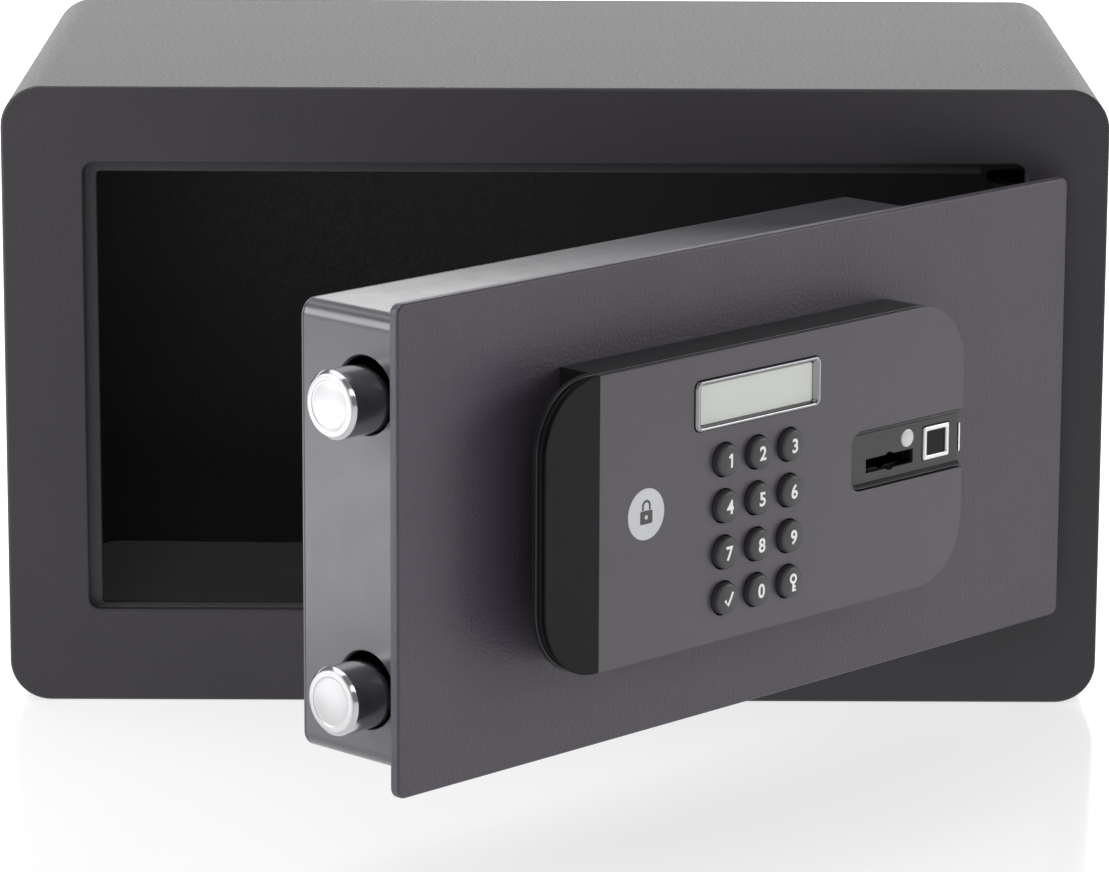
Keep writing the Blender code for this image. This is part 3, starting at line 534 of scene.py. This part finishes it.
def front_panel(outline, front, seam, fold):
    """The front: folded outer edge, flat face, soft lip, jamb and the ledge that stops the door."""
    open_x, open_z0, open_z1, open_r = 0.1492, 0.0302, 0.1760, 0.0038
    ledge_front, ledge_back = front + 0.0037, front + 0.0067
    jamb, lip, root, nose = 0.0025, 0.0006, 0.0005, 0.0004

    def mouth(grow):
        return rounded(-open_x - grow, open_x + grow, open_z0 - grow, open_z1 + grow, open_r + grow)

    def ledge(inset):
        x = open_x - 0.0040 + inset
        return rounded(-x, x, open_z0 + 0.0012 - inset, open_z1 - 0.0035 + inset, 0.0012)

    loops = [level(outline(0), seam, "y")]
    quarter = [i * math.pi / 8 for i in range(5)]
    for t in quarter:
        loops.append(level(outline(fold - fold * math.cos(t)), front + fold - fold * math.sin(t), "y"))
    for t in quarter:
        loops.append(level(mouth(lip - lip * math.sin(t)), front + lip - lip * math.cos(t), "y"))
    loops.append(level(mouth(0), ledge_front - root, "y"))
    loops.append(level(mouth(-root), ledge_front, "y"))
    for i in range(4):
        t = i * math.pi / 6
        rounding = ledge(nose - nose * math.sin(t))
        loops.append(level(rounding, ledge_front + nose - nose * math.cos(t), "y"))
    loops.append(level(ledge(0), ledge_back, "y"))
    loops.append(level(mouth(jamb), ledge_back, "y"))
    loops.append(level(mouth(jamb), seam, "y"))
    mesh = loft("front_frame_fine", loops, ring=True)

    # room for the hinge arms at the ledge's hinge end
    notch_x, shy = 0.1348, 0.0002
    notches = []
    for z0, z1 in ((0.1600, open_z1 - shy), (open_z0 + shy, 0.0462)):
        notch = rounded(notch_x, open_x - shy, z0, z1, 0.0003, 3)
        notches.append(prism("notch", notch, (ledge_front - shy, ledge_back + 0.0003)))
    return cut(mesh, notches)


def unevenness(x, y):
    """Height of the mat's face over its mean: long soft waves and shorter ones."""
    long_wave = math.sin(x * 61 + 1.3) * math.sin(y * 47 + 0.4)
    short_wave = math.sin(x * 190) * math.sin(y * 230 + x * 90)
    return 0.00022 * (long_wave + 0.5 * short_wave)


def round_off(vert, low, high, corner):
    """Pulls a vertex in a square corner of the mat's grid in to a round one."""
    for sx, cx in ((-1, low.x + corner), (1, high.x - corner)):
        for sy, cy in ((-1, low.y + corner), (1, high.y - corner)):
            dx, dy = (vert.co.x - cx) * sx, (vert.co.y - cy) * sy
            if dx > 0 and dy > 0:
                share = max(dx, dy) / math.hypot(dx, dy)
                vert.co.x = cx + sx * dx * share
                vert.co.y = cy + sy * dy * share


def felt_mat():
    """A needle-felt mat, cut with round corners and lying a little uneven."""
    low, high = extent("floor_mat", CABINET)
    cell, corner, headroom = 0.004, 0.008, 0.0004
    work = bmesh.new()
    wide, deep = high.x - low.x, high.y - low.y
    nx, ny = round(wide / cell), round(deep / cell)

    def grid(z):
        verts = []
        for i in range(nx + 1):
            x = low.x + i * wide / nx
            verts.append([work.verts.new((x, low.y + j * deep / ny, z)) for j in range(ny + 1)])
        for i in range(nx):
            for j in range(ny):
                work.faces.new((verts[i][j], verts[i + 1][j], verts[i + 1][j + 1], verts[i][j + 1]))
        return verts

    top, bottom = grid(high.z - headroom), grid(low.z)
    rim = [(i, 0) for i in range(nx)] + [(nx, j) for j in range(ny)]
    rim += [(i, ny) for i in range(nx, 0, -1)] + [(0, j) for j in range(ny, 0, -1)]
    for (i, j), (k, l) in zip(rim, rim[1:] + rim[:1]):
        work.faces.new((top[i][j], top[k][l], bottom[k][l], bottom[i][j]))
    for row in top:
        for vert in row:
            vert.co.z += unevenness(vert.co.x, vert.co.y)
    for vert in work.verts:
        round_off(vert, low, high, corner)
    mesh = closed_mesh("felt_mat_fine", work, 60, False)
    mesh = cut(mesh, [prism("hole", hole, (0, 2 * high.z), "z") for hole in anchor_holes(0)])
    shade(mesh, 60, False)
    mat = new_piece("felt_mat", mesh, CABINET, "cabinet", felt, ["floor_mat"])


def strike():
    low, high = extent("strike_bar", CABINET)
    bar = slab("strike_bar_fine", [inset_box(low, high, 0, 0.002)], low.y, high.y)
    new_piece("strike_plate", bar, CABINET, "cabinet", zinc, ["strike_bar"])


# door


def door_sheet():
    """The door's plate, with holes for the override lock and for the keypad's cable."""
    low, high = extent("door_plate", DOOR)
    lock_hole, cable_hole = disc(0.19255, 0.10135, 0.01085), disc(0.1640, 0.1100, 0.0060)
    outlines = [inset_box(low, high, 0, 0.0030), lock_hole, cable_hole]
    sheet = slab("door_plate_fine", outlines, low.y, high.y, 0.0008, resolution=4)
    door_piece("door_sheet", sheet, lit_door_paint, "door_plate")
    return high.y


def housing(plate_back):
    """The folded lock housing with bolt holes in its end, and the cover behind it."""
    low, high = extent("lock_housing", DOOR)
    cover_low, cover_high = extent("rear_cover", DOOR)
    wall, bend = 0.0015, 0.0050

    def outline(inset):
        return inset_box(low, high, inset, bend - inset)

    corners = ((0, plate_back), (0, cover_low.y), (wall, cover_low.y), (wall, plate_back))
    band = loft("lock_housing_fine", [level(outline(i), y, "y") for i, y in corners], ring=True)
    holes = []
    hole_r, hole_rise = 0.0112, 0.0009
    for node in ("upper_bolt", "lower_bolt"):
        bolt_low, bolt_high = extent(node, DOOR)
        middle = ((bolt_low.y + bolt_high.y) / 2, (bolt_low.z + bolt_high.z) / 2 + hole_rise)
        rim = [(hole_r + 0.0012, low.x - 0.001), (hole_r + 0.0002, low.x + 0.0003)]
        rim += [(hole_r, low.x + 0.0006), (hole_r, low.x + 3 * wall)]
        holes.append(lathe("hole", middle, rim, "x"))
    door_piece("lock_case", cut(band, holes), lit_housing_paint, "lock_housing")

    hatch_low, hatch_high = extent("battery_hatch", DOOR)
    lip, screw_hole_r = 0.004, 0.0018
    window = inset_box(hatch_low, hatch_high, lip, lip / 2)
    screws = [f"cover_screw_{end}_{side}" for end in ("lower", "upper") for side in ("left", "right")]
    holes = [disc(*middle_of(*extent(screw, DOOR)), screw_hole_r, 32) for screw in screws]
    cover = slab("rear_cover_fine", [outline(0), window, *holes], cover_low.y, cover_high.y, 0.0006)
    door_piece("case_cover", cover, lit_housing_paint, "rear_cover")
    lid = hatch_lid(hatch_low, hatch_high)
    door_piece("battery_lid", lid, lit_housing_paint, "battery_hatch")
    for screw in screws:
        cover_screw(screw)


def hatch_lid(low, high):
    """A sliding battery lid with grip ribs."""
    rib_count, pitch, rib_width, side, end = 7, 0.0022, 0.0010, 0.008, 0.018
    lid = slab("battery_hatch_fine", [inset_box(low, high, 0, 0.002)], low.y, high.y - 0.0003, 0.0003)
    ribs = []
    for i in range(rib_count):
        x = low.x + side + i * pitch
        rib = rounded(x, x + rib_width, low.z + end, high.z - end, rib_width / 2, 4)
        ribs.append(slab("rib", [rib], high.y - 0.0005, high.y, 0.0002, resolution=2))
    return merge("battery_hatch_fine", lid, *ribs)


def cover_screw(node):
    """A pan-head screw with a cross recess."""
    low, high = extent(node, DOOR)
    x, z = middle_of(low, high)
    head_r, shank_r, crown = (high.x - low.x) / 2, 0.0014, 0.0008
    head_back, head_front = high.y, high.y - 0.0012
    profile = [(0.0001, head_back), (head_r * 0.45, head_back)]
    profile += arc(head_r - crown, head_back - crown, crown, 80, 0, 4)
    profile += [(head_r, head_front), (shank_r, head_front), (shank_r, low.y + 0.0006), (0.0009, low.y)]
    body = lathe("screw", (x, z), profile, "y", 32)
    slots = []
    for half_x, half_z in ((0.0015, 0.0004), (0.0004, 0.0015)):
        outline = rounded(x - half_x, x + half_x, z - half_z, z + half_z, 0.0001, 2)
        slots.append(prism("slot", outline, (head_back - 0.0007, head_back + 0.001)))
    mesh = cut(body, slots)
    shade(mesh, 35, False)
    door_piece(node.replace("cover", "pan"), mesh, zinc, node)


def bolts():
    """Round bolts with a turned end: chamfered rim, flat ring, fine groove and a satin centre."""
    for word in ("upper", "lower"):
        low, high = extent(f"{word}_bolt", DOOR)
        r = (high.z - low.z) / 2
        middle = ((low.y + high.y) / 2, (low.z + high.z) / 2)
        tip, edge, foot = low.x, 0.0011, 0.001
        profile = [(0.0001, tip + 0.0001), (r * 0.64, tip + 0.0001)]
        profile += [(r * 0.67, tip + 0.0002), (r * 0.71, tip + 0.00015), (r * 0.73, tip)]
        profile += [(r - edge - 0.0003, tip), (r - edge, tip + 0.0001)]
        profile += [(r - 0.0002, tip + edge - 0.0001), (r, tip + edge + 0.0002)]
        profile += [(r, high.x - foot), (r - foot, high.x)]
        mesh = lathe(f"{word}_bolt_fine", middle, profile, "x", 96, 25)
        new_piece(f"{word}_bolt_bar", mesh, DOOR, "bolts", turned_steel, [f"{word}_bolt"])


# fascia

FASCIA_LEFT_R, FASCIA_RIGHT_R = 0.0210, 0.0200
KEY_HOLE_R = 0.0052
BEZEL_R = 0.0022


def fascia_outline(low, high, inset):
    left_r, right_r = FASCIA_LEFT_R - inset, FASCIA_RIGHT_R - inset
    return inset_box(low, high, inset, (left_r, right_r, right_r, left_r), 20)


def fascia_layer(low, high):
    """The base's lower layer, with a rounded front edge."""
    edge, steps = 0.0004, 5
    loops = []
    for i in range(steps):
        t = i * math.pi / 2 / (steps - 1)
        outline = fascia_outline(low, high, edge - edge * math.sin(t))
        loops.append(level(outline, low.y + edge - edge * math.cos(t), "y"))
    loops.append(level(fascia_outline(low, high, 0), high.y, "y"))
    return loft("lower", loops)


def fascia_moulding():
    """The moulded base: a lower layer, undercut as a finger pull and hollow behind the keys."""
    low, high = extent("fascia_base", DOOR)
    pull_x, pull_back, hollow_front, wall, clear = 0.0645, -0.0119, -0.0116, 0.003, 0.0003
    pull = rounded(low.x - wall, pull_x, low.z - wall, high.z + wall, 0.0004, 4)
    hollow_radii = (wall, 0.017, 0.017, wall)
    hollow = rounded(pull_x + wall, high.x - wall, low.z + wall, high.z - wall, hollow_radii, 8)
    slot_x, slot_z = zip(*keyway(clear))
    key_slot = rounded(min(slot_x), max(slot_x), min(slot_z), max(slot_z), 0.0001, 2)
    holes = [disc(x, z, KEY_HOLE_R, 32) for x, z in key_places()] + [key_slot, port_outline(clear)]
    through = (low.y - wall, hollow_front + 0.0006)
    cutters = [prism("pull", pull, (pull_back, wall)), prism("hollow", hollow, (hollow_front, wall))]
    cutters += [prism("hole", hole, through) for hole in holes]
    moulding = cut(fascia_layer(low, high), cutters)
    door_piece("fascia_moulding", moulding, black_plastic, "fascia_base")


def fascia_collar():
    """The recessed neck between the base and the front plate, open at the service panel."""
    low, high = extent("fascia_base", DOOR)
    seam, front = low.y, extent("fascia_plate", DOOR)[0].y + 0.0016
    outer, inner = 0.0009, 0.0030
    corners = ((outer, seam), (outer, front), (inner, front), (inner, seam))
    loops = [level(fascia_outline(low, high, i), y, "y") for i, y in corners]
    collar = loft("collar", loops, ring=True)
    panel_low, panel_high = extent("service_panel", DOOR)
    gap = rounded(panel_low.x, high.x + 0.003, panel_low.z, panel_high.z, 0.0002, 2)
    collar = cut(collar, [prism("gap", gap, (seam - 0.01, seam + 0.0001))])
    door_piece("fascia_collar", collar, black_plastic)


def key_places():
    """Centres of the keys, row by row, as (x, z)."""
    return [middle_of(*extent(node, DOOR)) for node in KEYS]


def keyway(grow):
    """A slot for a double-bit key: a long slot with a round centre."""
    cx, cz = middle_of(*extent("override_lock_rotor", DOOR))
    half, rise, r = 0.01085 + grow, 0.0021 + grow, 0.0028 + grow
    lean = math.asin(rise / r)
    points = []
    for side in (0, math.pi):
        turns = [side + lean + i * (math.pi - 2 * lean) / 8 for i in range(9)]
        points += [(r * math.cos(t), r * math.sin(t)) for t in turns]
        flip = -1 if side == 0 else 1
        points += [(flip * half, -flip * rise), (flip * half, flip * rise)]
    return [(cx + a, cz + b) for a, b in points]


def port_outline(grow):
    return inset_box(*extent("service_port_shell", DOOR), -grow, 0.0004 + grow, 4)


def service_notch(low, high, end_x):
    """The front plate's edge round the service panel, from below it to above it."""
    gap, r = 0.0003, 0.0040
    x, z0, z1 = low.x - gap, low.z - gap, high.z + gap
    turns = [math.pi / 2 * i / 8 for i in range(9)]
    below = [(x + r - r * math.sin(t), z0 + r - r * math.cos(t)) for t in turns]
    above = [(x + r - r * math.cos(t), z1 - r + r * math.sin(t)) for t in turns]
    return [(end_x, z0), *below, *above, (end_x, z1)]


def fascia_front():
    """The front: a gloss end cap and a satin plate with key holes, display window and service notch."""
    low, high = extent("fascia_base", DOOR)
    front = extent("fascia_plate", DOOR)[0].y
    back, edge, hair = front + 0.0015, 0.00035, 0.00004
    split = extent("pull_end_cap", DOOR)[1].x + 0.00015
    outline = fascia_outline(low, high, 0)

    # the outline starts at its lower left corner, so the halves of its left part change places
    x, middle = split - hair, (low.z + high.z) / 2
    left = [p for p in outline if p[0] < split]
    cap_outline = [p for p in left if p[1] >= middle] + [p for p in left if p[1] < middle]
    cap_outline += [(x, low.z), (x, high.z)]
    cap = slab("pull_end_cap_fine", [cap_outline], front, back, edge, resolution=4)
    door_piece("gloss_end_cap", cap, gloss_black, "pull_end_cap")

    panel_low, panel_high = extent("service_panel", DOOR)
    notch = service_notch(panel_low, panel_high, high.x)
    x = split + hair
    right = [p for p in outline if p[0] > split] + [(x, high.z), (x, low.z)]
    lower_right = [p for p in right if p[1] < notch[0][1] and p[0] > panel_low.x]
    plate_outline = lower_right + notch + [p for p in right if p not in lower_right]
    window = inset_box(*extent("display_bezel", DOOR), -0.00015, BEZEL_R, 8)
    holes = [disc(x, z, KEY_HOLE_R, 40) for x, z in key_places()]
    plate = slab("fascia_plate_fine", [plate_outline, window, *holes], front, back, edge / 2)
    door_piece("fascia_face", plate, satin_grey, "fascia_plate")


def display():
    """A bright rounded rim and the pale display behind it."""
    low, high = extent("display_bezel", DOOR)
    screen_low, screen_high = extent("display_screen", DOOR)
    side, lip = screen_low.x - low.x, screen_low.z - low.z
    top, roll, pane_r = low.y, 0.0006, 0.0008

    def rim(share, y):
        """The rim's outline at a share of the way in to the pane."""
        a, b = side * share, lip * share
        r = max(BEZEL_R - b, pane_r)
        return level(rounded(low.x + a, high.x - a, low.z + b, high.z - b, r, 8), y, "y")

    loops = [rim(0, high.y), rim(0, top + roll)]
    for i in range(1, 6):
        t = i * math.pi / 10
        loops.append(rim(0.30 * (1 - math.cos(t)), top + roll - roll * math.sin(t)))
    loops += [rim(0.55, top + 0.00005), rim(0.72, top + 0.0003)]
    loops += [rim(1.0, screen_low.y - 0.0001), rim(1.0, high.y)]
    mesh = loft("display_bezel_fine", loops, ring=True, angle=50, flats=False)
    door_piece("display_rim", mesh, satin_chrome, "display_bezel")
    pane_outline = inset_box(screen_low, screen_high, 0.0001, pane_r, 6)
    pane = slab("display_screen_fine", [pane_outline], screen_low.y, screen_high.y, 0.0001)
    door_piece("display_pane", pane, reflector, "display_screen")


def badge():
    """A plain silver disc with a padlock pictogram."""
    low, high = extent("badge_disc", DOOR)
    cx, cz = middle_of(low, high)
    r, ink, ink_edge = (high.x - low.x) / 2, 0.00006, 0.00001
    plate = slab("badge_disc_fine", [disc(cx, cz, r)], low.y + ink / 2, high.y, 0.00008)
    door_piece("badge_plate", plate, badge_silver, "badge_disc")
    half, rise = r * 0.34, r * 0.26
    base = cz - r * 0.38
    body = rounded(cx - half, cx + half, base, base + 2 * rise, r * 0.07, 4)
    hole = disc(cx, base + rise, r * 0.09, 20)
    lock = slab("padlock_body", [body, hole], low.y, low.y + ink, ink_edge, 1)
    outer, inner, foot = r * 0.24, r * 0.14, base + 2 * rise + r * 0.02
    turns = [math.pi * i / 16 for i in range(17)]
    bow = foot + r * 0.16
    shackle = [(cx + outer, foot)] + [(cx + outer * math.cos(t), bow + outer * math.sin(t)) for t in turns]
    shackle += [(cx - outer, foot), (cx - inner, foot)]
    shackle += [(cx + inner * math.cos(t), bow + inner * math.sin(t)) for t in reversed(turns)]
    shackle += [(cx + inner, foot)]
    loop = slab("padlock_loop", [shackle], low.y, low.y + ink, ink_edge, 1)
    door_piece("badge_padlock", merge("badge_padlock", lock, loop), badge_ink)


# keys

KEYS = [f"key_{mark}" for mark in (*"123456789", "tick", "0", "lock")]
KEY_R, KEY_CROWN, KEY_ROUND = 0.0048, 0.0003, 0.0009
LEGEND_INK, LEGEND_WELD = 0.00003, 1e-7


def key_face(distance, top):
    """Level of a key's dished face at a distance from its centre."""
    return top + KEY_CROWN * (distance / (KEY_R - KEY_ROUND)) ** 2


def keypad():
    """Round keys with a dished face and a rounded edge, each with its mark."""
    for node in KEYS:
        low, high = extent(node, DOOR)
        centre = middle_of(low, high)
        flange_r, flange_front, top = (high.x - low.x) / 2, high.y - 0.0010, low.y
        flat = KEY_R - KEY_ROUND
        profile = [(flat * share, key_face(flat * share, top)) for share in (0.02, 0.25, 0.5, 0.75, 1.0)]
        shoulder = top + KEY_CROWN + KEY_ROUND
        for i in range(1, 7):
            t = i * math.pi / 12
            profile.append((flat + KEY_ROUND * math.sin(t), shoulder - KEY_ROUND * math.cos(t)))
        profile += [(KEY_R, flange_front), (flange_r, flange_front), (flange_r, high.y)]
        mesh = lathe(f"{node}_fine", centre, profile, "y", 56, 40)
        new_piece(f"{node}_cap", mesh, DOOR, node, key_rubber, [node])
        mark = legend(node, centre, top)
        new_piece(f"{node}_legend", mark, DOOR, node, legend_ink)


def digit_curve(name, digit):
    curve = bpy.data.curves.new(name, "FONT")
    curve.body = digit
    curve.size = 0.0058
    curve.align_x, curve.align_y = "CENTER", "CENTER"
    curve.offset = 0.00015
    curve.resolution_u = 6
    return curve


def legend(node, centre, top):
    """A printed mark that follows the dished face of its key."""
    word = node.split("_")[1]
    drawings = {"tick": tick, "lock": key_pictogram, "1": digit_one}
    if word in drawings:
        work = editable(flat_curve(f"{node}_mark", drawings[word]()))
    else:
        work = editable(digit_curve(f"{node}_mark", word))
    bmesh.ops.remove_doubles(work, verts=work.verts, dist=LEGEND_WELD)
    xs, ys = [v.co.x for v in work.verts], [v.co.y for v in work.verts]
    middle = (min(xs) + max(xs)) / 2, (min(ys) + max(ys)) / 2
    for vert in work.verts:
        vert.co = (vert.co.x - middle[0], vert.co.y - middle[1], 0)
    # a grid of cuts, so that the mark can bend
    for k in range(-6, 7):
        for normal in ((1, 0, 0), (0, 1, 0)):
            everything = work.verts[:] + work.edges[:] + work.faces[:]
            at = Vector(normal) * k * 0.00045
            bmesh.ops.bisect_plane(work, geom=everything, plane_co=at, plane_no=normal, dist=LEGEND_WELD)
    skin = bmesh.ops.extrude_face_region(work, geom=work.faces[:])
    raised = {item for item in skin["geom"] if isinstance(item, bmesh.types.BMVert)}
    for vert in work.verts:
        x, z = vert.co.x, vert.co.y
        face = key_face(math.hypot(x, z), top)
        vert.co = (centre[0] + x, face + (-LEGEND_INK if vert in raised else LEGEND_INK), centre[1] + z)
    bmesh.ops.recalc_face_normals(work, faces=work.faces)
    mesh = bpy.data.meshes.new(f"{node}_legend")
    work.to_mesh(mesh)
    work.free()
    shade(mesh, 40, False)
    return mesh


def stroke(points, width):
    """An open line of some width, as one outline."""
    half = width / 2
    left, right = [], []
    for i, (x, y) in enumerate(points):
        before, after = points[max(i - 1, 0)], points[min(i + 1, len(points) - 1)]
        dx, dy = after[0] - before[0], after[1] - before[1]
        length = math.hypot(dx, dy)
        nx, ny = -dy / length * half, dx / length * half
        left.append((x + nx, y + ny))
        right.append((x - nx, y - ny))
    return left + right[::-1]


def tick():
    return [stroke([(-0.0017, 0.0000), (-0.0005, -0.0017), (0.0017, 0.0021)], 0.0009)]


def digit_one():
    """An upright stroke with a short flag."""
    half, rise, flag = 0.00040, 0.0021, 0.0009
    outline = [(-half, -rise), (half, -rise), (half, rise), (-half * 0.6, rise)]
    outline += [(-half - flag, rise - flag), (-half - flag * 0.6, rise - flag * 1.6)]
    return [[*outline, (-half, rise - flag * 1.2)]]


def key_pictogram():
    """A key standing on its bit: a round bow, a shank and two teeth."""
    bow, ring, half, top = 0.00155, 0.00075, 0.00045, 0.0013
    start = math.asin(half / bow)
    turns = [-math.pi / 2 + start + i * (2 * math.pi - 2 * start) / 28 for i in range(29)]
    outline = [(bow * math.cos(t), top + bow * math.sin(t)) for t in turns]
    foot, long_tooth, short_tooth = -0.0026, half + 0.0009, half + 0.00063
    outline += [(-half, foot), (long_tooth, foot), (long_tooth, foot + 0.0006), (half, foot + 0.0006)]
    outline += [(half, foot + 0.0011), (short_tooth, foot + 0.0011)]
    outline += [(short_tooth, foot + 0.0017), (half, foot + 0.0017)]
    return [outline, disc(0, top, ring, 24)]


# service panel

SERVICE_R = 0.0037


def panel_rim(low, high):
    """A raised edge round three sides of the service panel. Its inner side slopes down to the panel."""
    crest = extent("fascia_plate", DOOR)[0].y + 0.0006
    r, width = SERVICE_R, 0.0014
    section = [(0, low.y + 0.0002), (0, crest + 0.0003), (0.00012, crest + 0.00008), (0.0003, crest)]
    section += [(0.0005, crest + 0.00010), (width, low.y - 0.00002), (width, low.y + 0.0002)]
    path = [(high.x, high.z, 0, -1)]
    for level_z, first in ((high.z - r, 1), (low.z + r, 2)):
        for i in range(9):
            t = math.pi / 2 * (first + i / 8)
            c, s = math.cos(t), math.sin(t)
            path.append((low.x + r + r * c, level_z + r * s, -c, -s))
    path.append((high.x, low.z, 0, 1))
    loops = [[(x + nx * d, y, z + nz * d) for d, y in section] for x, z, nx, nz in path]
    return loft("panel_rim", loops)


def port_shell():
    """The square metal frame of the service socket, with a softly rounded front."""
    low, high = extent("service_port_shell", DOOR)
    wall = extent("service_port_insert", DOOR)[0].x - low.x
    front, back = low.y, high.y
    section = [(0, back), (0, front + 0.0003), (0.0001, front + 0.0001), (0.0003, front)]
    section += [(wall - 0.0003, front), (wall - 0.0001, front + 0.0001)]
    section += [(wall, front + 0.0004), (wall, back)]
    loops = [level(inset_box(low, high, inset, 0.0005, 5), y, "y") for inset, y in section]
    return loft("port_shell_fine", loops, ring=True, angle=50, flats=False)


def service():
    """The recessed panel with its keyway, lamp and service socket, and the catch of its cover."""
    low, high = extent("service_panel", DOOR)
    lens_low, lens_high = extent("indicator_lens", DOOR)
    lamp, lamp_r = middle_of(lens_low, lens_high), (lens_high.x - lens_low.x) / 2
    outline = inset_box(low, high, 0, (SERVICE_R, 0.0003, 0.0003, SERVICE_R), 8)
    holes = [keyway(0), port_outline(0.0002), disc(*lamp, lamp_r + 0.0001, 40)]
    panel = slab("service_panel_fine", [outline, *holes], low.y, high.y, 0.0002, resolution=2)
    door_piece("service_plate", panel, panel_plastic, "service_panel")
    door_piece("service_surround", panel_rim(low, high), panel_plastic)

    top = lens_low.y
    dome = [(lamp_r * share, top + 0.00035 * share * share) for share in (0.02, 0.3, 0.6, 0.85)]
    dome += [(lamp_r * 0.97, top + 0.0004), (lamp_r, top + 0.0006), (lamp_r, lens_high.y)]
    lamp_lens = lathe("indicator_lens_fine", lamp, dome, "y", 40)
    door_piece("lamp_lens", lamp_lens, lens, "indicator_lens")

    door_piece("port_shell", port_shell(), nickel, "service_port_shell")

    catch_low, catch_high = extent("cover_catch", DOOR)
    catch_outline = inset_box(catch_low, catch_high, 0, 0.0002, 3)
    clip = slab("cover_catch_fine", [catch_outline], catch_low.y, catch_high.y, 0.0001)
    door_piece("cover_clip", clip, nickel, "cover_catch")


# CAD nodes that keep their shape


def keep(node, surface, edge=0.0002, angle=30):
    """Gives a CAD node its material and small rounded edges."""
    thing = frame["nodes"][node]
    thing.data.materials.clear()
    thing.data.materials.append(surface)
    if "custom_normal" in thing.data.attributes:
        thing.data.attributes.remove(thing.data.attributes["custom_normal"])
    thing.data.shade_smooth()
    weld = thing.modifiers.new("weld", "WELD")
    weld.merge_threshold = 1e-5
    bevel = thing.modifiers.new("edge", "BEVEL")
    bevel.width = edge
    bevel.segments = 2
    bevel.limit_method = "ANGLE"
    bevel.angle_limit = math.radians(angle)
    bevel.harden_normals = True


def kept_nodes():
    for word in ("upper", "lower"):
        keep(f"{word}_hinge_arm", dark_steel, 0.0003)
        keep(f"{word}_hinge_bracket", dark_steel, 0.0003)
        keep(f"{word}_hinge_pin", bright, 0.0002, 40)
        keep(f"{word}_bolt_guide", black_plastic, 0.0003, 40)
    keep("bolt_carriage", zinc)
    keep("drive_pinion", zinc, 0.0001)
    keep("gearbox", zinc, 0.0006)
    keep("drive_motor", bright, 0.0004, 40)
    keep("main_circuit_board", board, 0.0001)
    keep("keypad_board", board, 0.0001)
    keep("battery_holder", black_plastic, 0.0002)
    for i in range(4):
        keep(f"battery_cell_{i + 1}", sleeve, 0.0003, 40)
    keep("service_port_insert", gloss_black, 0.0002)
    keep("override_lock_case", zinc, 0.0003)
    keep("override_lock_rotor", dark_steel, 0.0002, 40)


# stage


def camera():
    made = bpy.data.objects.new("camera", bpy.data.cameras.new("camera"))
    made.data.lens, made.data.sensor_width = LENS, SENSOR
    made.data.clip_start, made.data.clip_end = 0.1, 50
    turn = Matrix.Rotation(-CAMERA_YAW, 4, "Z") @ Matrix.Rotation(math.pi / 2 - CAMERA_PITCH, 4, "X")
    turn = turn @ Matrix.Rotation(CAMERA_ROLL, 4, "Z")
    made.matrix_world = Matrix.Translation(CAMERA_AT) @ turn
    bpy.context.scene.collection.objects.link(made)
    bpy.context.scene.camera = made


def floor():
    """A plain white studio floor, with a little light of its own so that shadows stay soft."""
    half_size, glow, clear = 14.0, 0.68, 0.0002
    work = bmesh.new()
    bmesh.ops.create_grid(work, x_segments=2, y_segments=2, size=half_size)
    mesh = bpy.data.meshes.new("floor")
    work.to_mesh(mesh)
    work.free()
    paint = Paint("studio_floor", (0.38, 0.38, 0.38), 0.14, Specular_IOR_Level=0.16)
    paint.set(paint.shader, "Emission Color", (1, 1, 1, 1))
    paint.set(paint.shader, "Emission Strength", glow)
    paint.tint(paint.noise(3, 2.0), 0.004)
    mesh.materials.append(paint.material)
    made = bpy.data.objects.new("floor", mesh)
    made.location = (0, 0, cad_low.z - clear)
    bpy.context.scene.collection.objects.link(made)


def softbox(name, at, aim, width, height, radiance):
    """A rectangular light of a given brightness, seen in reflections but not by the camera."""
    lamp = bpy.data.lights.new(name, "AREA")
    lamp.shape = "RECTANGLE"
    lamp.size, lamp.size_y = width, height
    lamp.energy = radiance * math.pi * width * height
    made = bpy.data.objects.new(name, lamp)
    made.rotation_euler = (Vector(aim) - Vector(at)).to_track_quat("-Z", "Y").to_euler()
    made.location = at
    made.visible_camera = False
    bpy.context.scene.collection.objects.link(made)


# name, place, aim, width, height and radiance
SOFTBOXES = (
    ("top", (-0.45, 0.0, 1.5), (-0.1, 0, 0), 1.4, 1.4, 1.7),
    ("back", (0, 2.4, 0.75), (0, 0, 0.2), 3.4, 1.3, 2.2),
    ("front", (0.2, -2.6, 1.7), (0.1, -0.1, 0.1), 1.2, 0.8, 2.2),
    ("right", (3.0, 0.26, 0.95), (0.1, -0.2, 0.1), 1.45, 1.1, 5.0),
    ("left", (-1.2, -0.42, 0.58), (-0.1, -0.3, 0.1), 0.6, 0.7, 6.5),
    ("left_card", (-0.46, -0.33, 0.004), (-0.42, -0.33, 1.0), 0.54, 0.44, 2.2),
)
WORLD_STRENGTH = 0.28


def lights():
    world = bpy.data.worlds.new("studio")
    world.use_nodes = True
    background = world.node_tree.nodes["Background"]
    background.inputs["Color"].default_value = (1, 1, 1, 1)
    background.inputs["Strength"].default_value = WORLD_STRENGTH
    bpy.context.scene.world = world
    bpy.context.scene.view_settings.view_transform = "Standard"
    for setup in SOFTBOXES:
        softbox(*setup)


def build():
    cabinet()
    felt_mat()
    strike()
    housing(door_sheet())
    bolts()
    fascia_moulding()
    fascia_collar()
    fascia_front()
    display()
    badge()
    keypad()
    service()
    kept_nodes()
    camera()
    floor()
    lights()


build()
